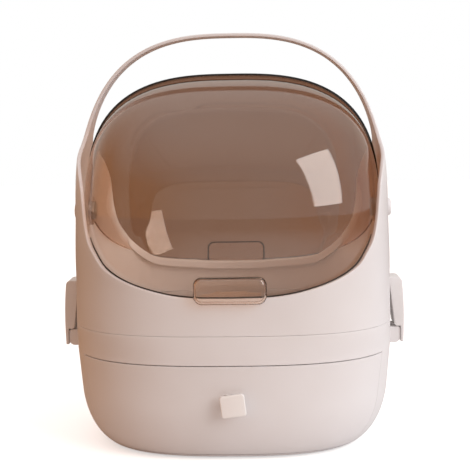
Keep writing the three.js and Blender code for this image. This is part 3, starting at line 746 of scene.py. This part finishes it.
def rim_path(rear):
    """The shell's side outline from the middle of the rim to the top of the handle."""
    slope = math.tan(math.asin((RIM_DROP - REAR_LID_LIFT) / REAR_LID_RADIUS))
    table = []
    for depth_share, level_share in SIDE_OUTLINE_SHARES:
        depth = mix(HANDLE_HALF_DEPTH, BODY_HALF_DEPTH, depth_share)
        table.append((depth, level_share * (RIM_DROP if level_share < 0 else HANDLE_RISE)))
    path = []
    for depth, level in curve_through(table, OUTLINE_STEPS):
        if rear:
            past_start = depth / BODY_HALF_DEPTH - REAR_DIP_START_SHARE
            dip = smooth_step(past_start / (REAR_DIP_END_SHARE - REAR_DIP_START_SHARE))
            level = mix(level, min(level, -depth * slope - RUN_GAP), dip)
        if level < HANDLE_RISE:
            path.append(to_domain(depth, PIVOT_HEIGHT + level))
    top = to_domain(HANDLE_HALF_DEPTH, PIVOT_HEIGHT + HANDLE_RISE)
    path.append(Vector((top.x, ARCH_LENGTH)))
    strip_start = to_domain(HANDLE_HALF_DEPTH, PIVOT_HEIGHT + SIDE_OUTLINE_SHARES[-2][1] * HANDLE_RISE).y
    body_part = [point for point in path if point.y <= strip_start]
    strip = [point for point in path if point.y > strip_start]
    return resample(body_part, RIM_COLUMNS) + resample([body_part[-1]] + strip, HANDLE_COLUMNS)[1:]


def rim_tangent(rim, i):
    """The rim's direction at one of its places; at its ends it runs straight across."""
    if i == 0:
        return Vector((1, 0, 0))
    if i == len(rim) - 1:
        return Vector((-1, 0, 0))
    return (shell_face(*rim[i + 1]) - shell_face(*rim[i - 1])).normalized()


def root_path(strip_start):
    """Where the shell's columns begin: along its lower edge, then up the middle of its side and handle."""
    bottom = SHELL_BOTTOM - PIVOT_HEIGHT
    shares = [i / ROOT_STEPS for i in range(ROOT_STEPS + 1)]
    edge = [Vector((RIGHT_ANGLE * (1 - share), bottom)) for share in shares]
    middle = [Vector((0, mix(bottom, strip_start, share))) for share in shares[1:]]
    return resample(edge + middle, RIM_COLUMNS)


def inside_front_lid(point, gap):
    """Whether a point lies in the room that the front lid needs."""
    along = abs(point.x) / (FRONT_LID_HALF_WIDTH + gap)
    out = math.hypot(point.y, point.z - PIVOT_HEIGHT) / (FRONT_LID_RADIUS + gap)
    return along**LID_POWER + out**LID_POWER < 1


def lip_width(rim, rear):
    """How far the rim's top face reaches in from the outer face: in front, up to the lid's room."""
    drop = REAR_LIP_DROP if rear else LIP_TOP_DROP
    fade = REAR_LIP_FADE if rear else LIP_FADE
    share = smooth_step((PIVOT_HEIGHT - drop - shell_face(*rim).z) / fade + 0.5)
    reach = LIP_REACH if rear else SHELL_WALL
    while reach < LIP_REACH and not inside_front_lid(shell_point(*rim, reach), RUN_GAP):
        reach += LIP_SEARCH_STEP
    return mix(SHELL_WALL, reach, share)


def towards_inside(rim, tangent, distance):
    """Moves from the rim over the outer face, square to the rim."""
    turned = shell_face(rim.x + TURN_NUDGE, rim.y) - shell_face(rim.x - TURN_NUDGE, rim.y)
    turned /= 2 * TURN_NUDGE
    climbed = shell_face(rim.x, rim.y + CLIMB_NUDGE) - shell_face(rim.x, rim.y - CLIMB_NUDGE)
    climbed /= 2 * CLIMB_NUDGE
    normal = turned.cross(climbed)
    square = normal.cross(tangent).normalized()
    angle = square.cross(climbed).dot(normal)
    climb = turned.cross(square).dot(normal)
    return rim + Vector((angle, climb)) * (distance / normal.length_squared)


def shell_column(root, rim, tangent, rear):
    """One column of the shell: up the outer face, round the rim, and down the inner face."""
    thickness = mix(SHELL_WALL, HANDLE_THICKNESS, smooth_step(rim.y / THICKEN_FADE))
    width = max(lip_width(rim, rear), thickness)
    lip_share = smooth_step((width - thickness) / LIP_BLEND)
    support = towards_inside(rim, tangent, RIM_ROUND)
    points = [shell_point(*root.lerp(support, i / SHELL_ROWS), 0) for i in range(SHELL_ROWS + 1)]
    turns = quarter_turn(ROUND_STEPS)
    for turn in turns[1:]:
        place = towards_inside(rim, tangent, RIM_ROUND * (1 - math.sin(turn)))
        points.append(shell_point(*place, RIM_ROUND * (1 - math.cos(turn))))
    for turn in reversed(turns[:-1]):
        place = towards_inside(rim, tangent, RIM_ROUND * (1 - math.sin(turn)))
        points.append(shell_point(*place, width - RIM_ROUND * (1 - math.cos(turn))))
    under = towards_inside(rim, tangent, mix(RIM_ROUND + RIM_STEP, LIP_HEIGHT, lip_share))
    points.append(shell_point(*under, width))
    below = mix(RIM_ROUND + 2 * RIM_STEP, LIP_HEIGHT + LIP_FILLET, lip_share)
    start = towards_inside(rim, tangent, below)
    points += [shell_point(*start.lerp(root, i / SHELL_ROWS), thickness) for i in range(SHELL_ROWS + 1)]
    return points


def shell_quarter(rear):
    """The columns of a quarter of the shell, and how many of them begin on its lower edge."""
    rim = rim_path(rear)
    roots = root_path(rim[RIM_COLUMNS].y) + [Vector((0, point.y)) for point in rim[RIM_COLUMNS + 1 :]]
    columns = []
    for i, (root, point) in enumerate(zip(roots, rim)):
        columns.append(shell_column(root, point, rim_tangent(rim, i), rear))
    lowest = SHELL_BOTTOM - PIVOT_HEIGHT + SAME_HEIGHT
    return columns, sum(root.y <= lowest for root in roots)


def upper_shell():
    points = []
    faces = []
    for rear in (False, True):
        columns, on_edge = shell_quarter(rear)
        rows = len(columns[0])
        for side in (1, -1):
            start = len(points)
            way = 1 if rear else -1
            points += [(side * x, way * y, z) for column in columns for x, y, z in column]
            for i in range(len(columns) - 1):
                a = start + i * rows
                faces += [(a + j, a + j + 1, a + rows + j + 1, a + rows + j) for j in range(rows - 1)]
                if i < on_edge:
                    faces.append((a, a + rows, a + 2 * rows - 1, a + rows - 1))
    shell = make_object("upper_shell_fine", points, faces, satin_abs)
    return finish_piece(shell, "root", "body_plastic", "upper_shell")


# Lids


def lathe(name, profile, steps, material):
    """A solid turned about the hinge axis from (radius, x) pairs, flat at both ends."""
    rings = []
    for out, along in profile:
        ring = []
        for turn in full_turn(steps):
            ring.append((along, -out * math.cos(turn), PIVOT_HEIGHT + out * math.sin(turn)))
        rings.append(ring)
    return stack(name, rings, material)


def dome(name, half_width, radius):
    """A dome about the hinge axis, flat at the hubs."""
    limit = RIGHT_ANGLE - plan_angle(HUB_RADIUS / radius, LID_POWER)
    profile = [(HUB_RADIUS, -half_width)]
    for i in range(LID_PROFILE_STEPS + 1):
        angle = limit * (2 * i / LID_PROFILE_STEPS - 1)
        profile.append(plan_point(radius, half_width, LID_POWER, angle))
    profile.append((HUB_RADIUS, half_width))
    return lathe(name, profile, LID_TURN_STEPS, amber)


def wedge(name, start, end):
    """A wedge with its edge on the hinge axis; angles from the front, upwards and over to the rear."""
    far = HANDLE_RISE + OVERRUN
    steps = math.ceil((end - start) / WEDGE_STEP)
    section = [(0, PIVOT_HEIGHT)]
    for i in range(steps + 1):
        turn = mix(start, end, i / steps)
        section.append((-far * math.cos(turn), PIVOT_HEIGHT + far * math.sin(turn)))
    rings = [[(x, y, z) for y, z in section] for x in (-BODY_HALF_WIDTH, BODY_HALF_WIDTH)]
    return stack(name, rings, amber)


def tab_outline():
    bottom = RIM_FRONT - TAB_HANG
    return rounded_rectangle(-TAB_HALF_WIDTH, TAB_HALF_WIDTH, bottom, bottom + TAB_HEIGHT, TAB_CORNER)


def tab(front, skin):
    """A finger tab: a hollow soft-edged hood outside the rim, with a neck over the rim to the lid."""
    behind = BODY_HALF_DEPTH + RUN_GAP
    reach = BODY_HALF_DEPTH + (FRONT_TAB_REACH if front else REAR_TAB_REACH)

    def plate(name, outline, near, far, far_round):
        if front:
            return cushion(name, outline, -far, -near, far_round, SHARP_ROUND, amber)
        return cushion(name, outline, near, far, SHARP_ROUND, far_round, amber)

    outline = tab_outline()
    made = plate("tab", outline, behind, reach, TAB_ROUND)
    neck_bottom = RIM_FRONT + TAB_NECK_LIFT
    neck_outline = [point for point in outline if point[1] > neck_bottom]
    neck_outline += [(-TAB_HALF_WIDTH, neck_bottom), (TAB_HALF_WIDTH, neck_bottom)]
    way = -1 if front else 1
    neck_ends = sorted((way * (behind + WELD), way * TAB_INSIDE))
    neck = stack("neck", [[(x, y, z) for x, z in neck_outline] for y in neck_ends], amber)
    combine(made, neck, "UNION")
    room = plate("room", inward(outline, TAB_WALL), TAB_INSIDE, reach - TAB_WALL, TAB_ROUND - TAB_WALL)
    combine(room, skin, "DIFFERENCE")
    return combine(made, room, "DIFFERENCE")


def lid(name, half_width, radius, start, end, front):
    """A dome's shell between two angles, with its hubs, its finger tab and the holes for the hinge pins."""
    made = dome(name, half_width, radius)
    reach = wedge("reach", start, end)
    ends = (-BODY_HALF_WIDTH, BODY_HALF_WIDTH)
    combine(reach, rod("hub", "x", HUB_RADIUS, *ends, 0, PIVOT_HEIGHT, amber), "UNION")
    combine(made, reach, "INTERSECT")
    combine(made, tab(front, dome("skin", half_width, radius)), "UNION")
    combine(made, dome("inside", half_width - LID_WALL, radius - LID_WALL), "DIFFERENCE")
    hole = rod("hole", "x", PIN_RADIUS + SEAT_GAP, *ends, 0, PIVOT_HEIGHT, amber)
    return combine(made, hole, "DIFFERENCE")


def front_lid():
    end = RIGHT_ANGLE + math.radians(LID_OVERLAP_ANGLE)
    made = lid("front_lid_fine", FRONT_LID_HALF_WIDTH, FRONT_LID_RADIUS, FRONT_LID_EDGE, end, True)
    return finish_piece(made, "front_lid", "amber_plastic", "front_lid")


def front_tab_shade_band():
    """Painted shade: a dark band behind the front tab's lower edge, its rim below the neck, for the dark
    line there.
    """
    outline = tab_outline()
    start = -BODY_HALF_DEPTH - RUN_GAP + SHADE_BAND_DEPTH
    ends = (start, start + SHADE_BAND_DEPTH, SHADE_BAND_ROUND, SHADE_BAND_ROUND)
    edge = cushion("front_tab_shade_band", outline, *ends, tab_shade_paint)
    core_ends = (start - OVERRUN, start + OVERRUN, SHADE_BAND_ROUND, SHADE_BAND_ROUND)
    core = cushion("core", inward(outline, SHADE_BAND_WIDTH), *core_ends, tab_shade_paint)
    combine(edge, core, "DIFFERENCE")
    side = TAB_HALF_WIDTH + OVERRUN
    neck_bottom = RIM_FRONT + TAB_NECK_LIFT
    box = (-side, side, start - OVERRUN, start + OVERRUN, neck_bottom, PIVOT_HEIGHT)
    above = block("above", *box, tab_shade_paint)
    combine(edge, above, "DIFFERENCE")
    return finish_piece(edge, "front_lid", "amber_plastic")


def rear_lid():
    start = RIGHT_ANGLE - math.radians(REAR_LID_LEAD)
    made = lid("rear_lid_fine", REAR_LID_HALF_WIDTH, REAR_LID_RADIUS, start, REAR_LID_EDGE, False)
    return finish_piece(made, "rear_lid", "amber_plastic", "rear_lid")


# Painted shade along the rim


def lid_depth(place):
    """How deep under the shell's outer face the front lid's surface lies."""
    low = 0
    high = DEEPEST_LID
    for _ in range(SEARCH_HALVINGS):
        middle = (low + high) / 2
        if inside_front_lid(shell_point(*place, middle), 0):
            high = middle
        else:
            low = middle
    return low


def rim_shade_strip():
    """A thin dark strip along the rim, close to the front lid: painted shade, for the dark line where the
    lid meets the rim.
    """
    rim = rim_path(False)
    outer_gap = SHADE_STRIP_GAP + SHADE_STRIP_THICKNESS
    half = []
    for i, point in enumerate(rim):
        left_over = -SHADE_STRIP_END_DROP - point.y
        if left_over < 0:
            break
        tangent = rim_tangent(rim, i)
        low = towards_inside(point, tangent, SHADE_STRIP_ROOT)
        high = towards_inside(point, tangent, -SHADE_STRIP_RISE * min(1, left_over / SHADE_STRIP_FADE + SHADE_STRIP_END_SHARE))
        ring = []
        for place, gap in ((low, outer_gap), (low, SHADE_STRIP_GAP), (high, SHADE_STRIP_GAP), (high, outer_gap)):
            x, y, z = shell_point(*place, lid_depth(place) - gap)
            ring.append((x, -y, z))
        half.append(ring)
    other_half = [[(-x, y, z) for x, y, z in ring] for ring in reversed(half[1:])]
    painted_strip = stack("rim_shade_strip_fine", other_half + half, rubber_for_feet_and_rim_shade)
    return finish_piece(painted_strip, "root", "body_plastic")


# Hinge caps


def hinge_cap(name, side):
    """A flat round cap over the end of a hinge pin."""
    start = PIVOT_HALF_WIDTH + RUN_GAP
    profile = [(CAP_RADIUS, side * start)]
    for turn in quarter_turn(SMALL_CORNER_STEPS):
        along = start + CAP_HEIGHT - CAP_ROUND * (1 - math.sin(turn))
        profile.append((CAP_RADIUS - CAP_ROUND * (1 - math.cos(turn)), side * along))
    profile.append((CAP_FLAT_START, side * (start + CAP_HEIGHT)))
    cap = lathe("hinge_cap_" + name + "_fine", profile, CAP_TURN_STEPS, satin_abs)
    return finish_piece(cap, "root", "body_plastic", "hinge_cap_" + name)


# Base, drawer front and pull


def bracket(side):
    """What carries a latch: a block on the ring, slotted for the latch's lug, with blind pin holes."""
    inner = BODY_HALF_WIDTH - BASE_WALL + WELD
    outer = BODY_HALF_WIDTH + LATCH_BOTTOM_REACH - LATCH_SKIN - BRACKET_GAP
    radius = outer - LATCH_PIN_X
    outline = [(inner, LATCH_PIN_HEIGHT - radius)]
    for turn in quarter_turn(SMALL_CORNER_STEPS):
        outline.append((LATCH_PIN_X + radius * math.sin(turn), LATCH_PIN_HEIGHT - radius * math.cos(turn)))
    for turn in quarter_turn(SMALL_CORNER_STEPS):
        along = outer - BRACKET_CORNER * (1 - math.cos(turn))
        outline.append((along, BRACKET_TOP - BRACKET_CORNER * (1 - math.sin(turn))))
    outline.append((inner, BRACKET_TOP))
    ends = (-BRACKET_HALF_WIDTH, BRACKET_HALF_WIDTH, BRACKET_ROUND, BRACKET_ROUND)
    made = cushion("bracket", outline, *ends, satin_abs)
    half = LUG_HALF_WIDTH + SEAT_GAP
    heights = (LATCH_BOTTOM - OVERRUN, BRACKET_TOP + OVERRUN)
    slot = block("slot", BODY_HALF_WIDTH, outer + OVERRUN, -half, half, *heights, satin_abs)
    combine(made, slot, "DIFFERENCE")
    reach = BRACKET_HALF_WIDTH - PIN_END_SKIN
    bore = LATCH_PIN_RADIUS + SEAT_GAP
    hole = rod("hole", "y", bore, -reach, reach, LATCH_PIN_X, LATCH_PIN_HEIGHT, satin_abs)
    combine(made, hole, "DIFFERENCE")
    return mirrored(made, side)


def base_housing():
    """The ring, the rear wall and the floor in one, open in front for the drawer."""
    ends = (BASE_ROUND, SHELL_SEAM_ROUND)
    base = body_loft("base_housing_fine", BASE_BOTTOM, RING_TOP, 0, satin_abs, ends)
    hollow = body_loft("hollow", FLOOR_TOP, RING_TOP + OVERRUN, BASE_WALL, satin_abs)
    combine(base, hollow, "DIFFERENCE")
    reach = BODY_HALF_WIDTH + OVERRUN
    rear = -DRAWER_SPLIT + SEAM_GAP
    opening = block("opening", -reach, reach, -reach, rear, FLOOR_TOP, BOWL_TOP, satin_abs)
    combine(base, opening, "DIFFERENCE")
    for side in (1, -1):
        combine(base, bracket(side), "UNION")
    return finish_piece(base, "root", "body_plastic", "base_housing")


def drawer_front():
    """The lower front of the bowl, with a slot for the pull's stub."""
    top = BOWL_TOP - 2 * SEAM_GAP
    front = body_loft("drawer_front_fine", DRAWER_FRONT_BOTTOM, top, 0, satin_abs, (0, SEAM_ROUND))
    combine(front, body_loft("hollow", 0, RING_TOP, BASE_WALL, satin_abs), "DIFFERENCE")
    reach = BODY_HALF_WIDTH + OVERRUN
    rear = block("rear", -reach, reach, -DRAWER_SPLIT, reach, 0, RING_TOP, satin_abs)
    combine(front, rear, "DIFFERENCE")
    half = STUB_HALF_WIDTH + SEAT_GAP
    heights = (PULL_TOP - STUB_HEIGHT - SEAT_GAP, PULL_TOP - STUB_DROP + SEAT_GAP)
    slot = block("slot", -half, half, -reach, 0, *heights, satin_abs)
    combine(front, slot, "DIFFERENCE")
    return finish_piece(front, "drawer", "body_plastic", "drawer_front")


def drawer_pull():
    """A small flat tongue, turned a little about its top, on a stub through the drawer's front."""
    face = half_depth_at(PULL_TOP) + PULL_GAP
    outline = rounded_rectangle(-PULL_HALF_WIDTH, PULL_HALF_WIDTH, -PULL_LENGTH, 0, PULL_CORNER)
    ends = (-face - PULL_THICKNESS, -face, PULL_ROUND, PULL_ROUND)
    pull = cushion("drawer_pull_fine", outline, *ends, satin_abs_pull)
    turned = Matrix.Rotation(-PULL_TILT, 4, "Y")
    pull.data.transform(Matrix.Translation((0, 0, PULL_TOP * MM)) @ turned)
    heights = (PULL_TOP - STUB_HEIGHT, PULL_TOP - STUB_DROP)
    stub_outline = rounded_rectangle(-STUB_HALF_WIDTH, STUB_HALF_WIDTH, *heights, STUB_CORNER)
    stub_ends = (-face - WELD, BASE_WALL - half_depth_at(PULL_TOP), SHARP_ROUND, SHARP_ROUND)
    combine(pull, cushion("stub", stub_outline, *stub_ends, satin_abs_pull), "UNION")
    return finish_piece(pull, "drawer", "pull_plastic", "drawer_pull")


# Side latches


def latch_outline():
    """A latch's section: a thin curved skin below, thick above the bracket, with a rounded foot and top."""
    bottom_outer = BODY_HALF_WIDTH + LATCH_BOTTOM_REACH
    top_outer = BODY_HALF_WIDTH + LATCH_TOP_REACH
    skin_inner = bottom_outer - LATCH_SKIN
    belly = BODY_HALF_WIDTH + 2 * LATCH_BELLY_REACH - (LATCH_BOTTOM_REACH + LATCH_TOP_REACH) / 2
    middle = (LATCH_BOTTOM + LATCH_TOP) / 2
    shoulder = (top_outer, LATCH_TOP - LATCH_CORNER)
    outline = [(skin_inner, LATCH_BOTTOM), (bottom_outer, LATCH_BOTTOM)]
    outline += quadratic(outline[-1], (belly, middle), shoulder, LATCH_FACE_STEPS)
    top = (top_outer - LATCH_CORNER, LATCH_TOP)
    outline += quadratic(shoulder, (top_outer, LATCH_TOP), top, SMALL_CORNER_STEPS)
    gap_face = BODY_HALF_WIDTH + LATCH_BELLY_GAP
    heel = (gap_face, LATCH_FOOT + LATCH_FOOT_CORNER)
    outline += [(BODY_HALF_WIDTH + LATCH_TOP_GAP, LATCH_TOP), heel]
    foot = (gap_face + LATCH_FOOT_CORNER, LATCH_FOOT)
    outline += quadratic(heel, (gap_face, LATCH_FOOT), foot, FOOT_CORNER_STEPS)
    outline.append((skin_inner, LATCH_FOOT))
    return outline


def side_latch(name, side):
    """A latch: its cover, and a lug with a web to it round the pin."""
    ends = (-LATCH_HALF_WIDTH, LATCH_HALF_WIDTH, LATCH_EDGE, LATCH_EDGE)
    latch = cushion("side_latch_" + name + "_fine", latch_outline(), *ends, satin_abs)
    pin_place = (LATCH_PIN_X, LATCH_PIN_HEIGHT)
    half = LUG_HALF_WIDTH
    lug = rod("lug", "y", LUG_RADIUS - SEAT_GAP, -half, half, *pin_place, satin_abs)
    combine(latch, lug, "UNION")
    web_start = LATCH_PIN_X - LUG_RADIUS / 2
    web_end = BODY_HALF_WIDTH + LATCH_BOTTOM_REACH - LATCH_SKIN + WELD
    web = block("web", web_start, web_end, -half, half, LATCH_PIN_HEIGHT, LATCH_FOOT + WELD, satin_abs)
    combine(latch, web, "UNION")
    bore = rod("bore", "y", LATCH_PIN_RADIUS + SEAT_GAP, -OVERRUN, OVERRUN, *pin_place, satin_abs)
    combine(latch, bore, "DIFFERENCE")
    mirrored(latch, side)
    return finish_piece(latch, "latch_" + name, "body_plastic", "side_latch_" + name)


def latch_pin(name, side):
    """A moulded pin between the bracket's blind holes."""
    reach = BRACKET_HALF_WIDTH - PIN_END_SKIN - SEAT_GAP
    place = (side * LATCH_PIN_X, LATCH_PIN_HEIGHT)
    made = rod("latch_pin_" + name + "_fine", "y", LATCH_PIN_RADIUS, -reach, reach, *place, satin_abs)
    return finish_piece(made, "root", "body_plastic", "latch_pin_" + name)


# All the pieces

upper_shell()
# Painted shade: the dark strip along the rim
rim_shade_strip()
front_lid()
# Painted shade: the dark band under the front tab
front_tab_shade_band()
rear_lid()
base_housing()
drawer_front()
drawer_pull()
for side_name, side_way in (("left", -1), ("right", 1)):
    hinge_cap(side_name, side_way)
    side_latch(side_name, side_way)
    latch_pin(side_name, side_way)

# The solids that stay, found by words in their names
plain_nodes = (
    (steel, ("hinge_pin", "screw")),
    (rubber_for_feet_and_rim_shade, ("foot",)),
    (inner_polypropylene, ("deck", "tray", "divider", "rail")),
)
for name, cad_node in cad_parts.items():
    for finish, words in plain_nodes:
        if any(word in name for word in words):
            cad_node.data.materials.clear()
            cad_node.data.materials.append(finish)
            break


# Floor

FLOOR_HALF = 3000
FLOOR_LIFT = 0.55
FLOOR_NEAR = "#E6E4E4"
FLOOR_LEFT = "#B88E68"
FLOOR_FAR = "#7C6152"
FLOOR_TURN = 260
PAPER_REACH = (350, 900)


def white_paper():
    """Matt paper, lifted to white for the camera. What it lights sees it warm on the left, brown far off."""
    material = new_material("matt_white_paper")
    spot = node(material, "ShaderNodeNewGeometry")
    sides = node(material, "ShaderNodeSeparateXYZ", links={"Vector": (spot, "Position")})
    turn = node(
        material,
        "ShaderNodeMapRange",
        {"From Min": -FLOOR_TURN * MM, "From Max": 0.0},
        {"Value": (sides, "X")},
    )
    near_tone = node(
        material,
        "ShaderNodeMix",
        {"data_type": "RGBA", "A": linear(FLOOR_LEFT), "B": linear(FLOOR_NEAR)},
        {"Factor": (turn, "Result")},
    )
    reach = node(material, "ShaderNodeVectorMath", {"operation": "LENGTH"}, {0: (spot, "Position")})
    fade = node(
        material,
        "ShaderNodeMapRange",
        {"From Min": PAPER_REACH[0] * MM, "From Max": PAPER_REACH[1] * MM},
        {"Value": (reach, "Value")},
    )
    tone = node(
        material,
        "ShaderNodeMix",
        {"data_type": "RGBA", "B": linear(FLOOR_FAR)},
        {"Factor": (fade, "Result"), "A": (near_tone, "Result")},
    )
    around = node(material, "ShaderNodeBsdfDiffuse", links={"Color": (tone, "Result")})
    paper = node(material, "ShaderNodeBsdfDiffuse", {"Color": linear("#F4F2F0")})
    lift = node(material, "ShaderNodeEmission", {"Color": linear("#FFFFFF"), "Strength": FLOOR_LIFT})
    lit_paper = node(material, "ShaderNodeAddShader", links={0: (paper, "BSDF"), 1: (lift, "Emission")})
    seen_by = node(material, "ShaderNodeLightPath")
    shader = node(
        material,
        "ShaderNodeMixShader",
        links={0: (seen_by, "Is Camera Ray"), 1: (around, "BSDF"), 2: (lit_paper, "Shader")},
    )
    node(material, "ShaderNodeOutputMaterial", links={"Surface": (shader, "Shader")})
    return material


def paper_floor():
    """A wide sheet of paper under the object, left out of what the clear lids let through."""
    half = FLOOR_HALF
    corners = [(-half, -half, 0), (half, -half, 0), (half, half, 0), (-half, half, 0)]
    floor = make_object("floor", corners, [(0, 1, 2, 3)], white_paper())
    floor.visible_transmission = False


# Light

ROOM_LEFT = "#CE883F"
ROOM_MIDDLE = "#CDC4C0"
ROOM_RIGHT = "#D4D5DA"
ROOM_BEHIND = "#E0D6CC"
ROOM_OVER = "#ECEAEA"
SEEN_THROUGH = "#7C6152"
LEFT_HOLD_SHARE = 0.22
MIDDLE_SHARE = 0.55
BEHIND_SHARES = (0.2, 0.8)
OVER_SHARES = (0.4, 0.95)
KEY_PLACE = (900, -700, 700)
KEY_AIM = (0, 0, 150)
KEY_SIZE = (700, 900)
KEY_POWER = 8.5
KEY_COLOUR = "#FFFEFF"


def studio_room():
    """White round the object. Its surfaces see a soft room, pale on the right and behind, warm on the left.

    What the clear lids let through from behind is a quiet brown, so that they show against the white.
    """
    world = bpy.data.worlds.new("studio")
    bpy.context.scene.world = world
    world.use_nodes = True
    world.node_tree.nodes.clear()
    way = node(world, "ShaderNodeTexCoord")
    part = node(world, "ShaderNodeSeparateXYZ", links={"Vector": (way, "Generated")})
    across = node(world, "ShaderNodeMapRange", {"From Min": -1.0, "From Max": 1.0}, {"Value": (part, "X")})
    room = node(world, "ShaderNodeValToRGB", links={"Fac": (across, "Result")})
    stops = room.color_ramp.elements
    stops[0].color = linear(ROOM_LEFT)
    stops[1].color = linear(ROOM_RIGHT)
    stops.new(LEFT_HOLD_SHARE).color = linear(ROOM_LEFT)
    stops.new(MIDDLE_SHARE).color = linear(ROOM_MIDDLE)
    seen = node(world, "ShaderNodeLightPath")
    backdrop = node(
        world,
        "ShaderNodeMix",
        {"data_type": "RGBA", "A": linear(ROOM_BEHIND), "B": linear(SEEN_THROUGH)},
        {"Factor": (seen, "Is Transmission Ray")},
    )
    depth = node(
        world,
        "ShaderNodeMapRange",
        {"From Min": BEHIND_SHARES[0], "From Max": BEHIND_SHARES[1]},
        {"Value": (part, "Y")},
    )
    behind = node(
        world,
        "ShaderNodeMix",
        {"data_type": "RGBA"},
        {"Factor": (depth, "Result"), "A": (room, "Color"), "B": (backdrop, "Result")},
    )
    height = node(
        world,
        "ShaderNodeMapRange",
        {"From Min": OVER_SHARES[0], "From Max": OVER_SHARES[1]},
        {"Value": (part, "Z")},
    )
    over = node(
        world,
        "ShaderNodeMix",
        {"data_type": "RGBA", "B": linear(ROOM_OVER)},
        {"Factor": (height, "Result"), "A": (behind, "Result")},
    )
    soft = node(world, "ShaderNodeBackground", {"Strength": 1.0}, {"Color": (over, "Result")})
    white = node(world, "ShaderNodeBackground", {"Color": linear("#FFFFFF"), "Strength": 1.0})
    both = node(
        world,
        "ShaderNodeMixShader",
        links={0: (seen, "Is Camera Ray"), 1: (soft, "Background"), 2: (white, "Background")},
    )
    node(world, "ShaderNodeOutputWorld", links={"Surface": (both, "Shader")})


def key_light():
    """A large soft area light from the right, in front."""
    data = bpy.data.lights.new("key_right", "AREA")
    data.shape = "RECTANGLE"
    data.size = KEY_SIZE[0] * MM
    data.size_y = KEY_SIZE[1] * MM
    data.energy = KEY_POWER
    data.color = linear(KEY_COLOUR)[:3]
    light = bpy.data.objects.new("key_right", data)
    light.location = Vector(KEY_PLACE) * MM
    way = Vector(KEY_AIM) * MM - light.location
    light.rotation_euler = way.to_track_quat("-Z", "Y").to_euler()
    bpy.context.scene.collection.objects.link(light)


# Camera

CAMERA_DISTANCE = 769
CAMERA_HEIGHT = 250.6
CAMERA_YAW = math.radians(1.65)
CAMERA_ROLL = math.radians(0.9)
CAMERA_NEAR = 50
CAMERA_FAR = 20000
IMAGE_SIDE = 470
FOCAL_PIXELS = 938
VANISHING_PIXEL = (231, 121.15)
SENSOR = 36


def front_camera():
    data = bpy.data.cameras.new("camera")
    data.sensor_width = SENSOR
    data.lens = SENSOR * FOCAL_PIXELS / IMAGE_SIDE
    data.shift_x = (IMAGE_SIDE / 2 - VANISHING_PIXEL[0]) / IMAGE_SIDE
    data.shift_y = (VANISHING_PIXEL[1] - IMAGE_SIDE / 2) / IMAGE_SIDE
    data.clip_start = CAMERA_NEAR * MM
    data.clip_end = CAMERA_FAR * MM
    camera = bpy.data.objects.new("camera", data)
    across = CAMERA_DISTANCE * math.sin(CAMERA_YAW)
    back = CAMERA_DISTANCE * math.cos(CAMERA_YAW)
    camera.location = Vector((across, -back, CAMERA_HEIGHT)) * MM
    camera.rotation_euler = (RIGHT_ANGLE, CAMERA_ROLL, CAMERA_YAW)
    bpy.context.scene.collection.objects.link(camera)
    bpy.context.scene.camera = camera


paper_floor()
studio_room()
key_light()
front_camera()
bpy.context.scene.view_settings.view_transform = "Standard"
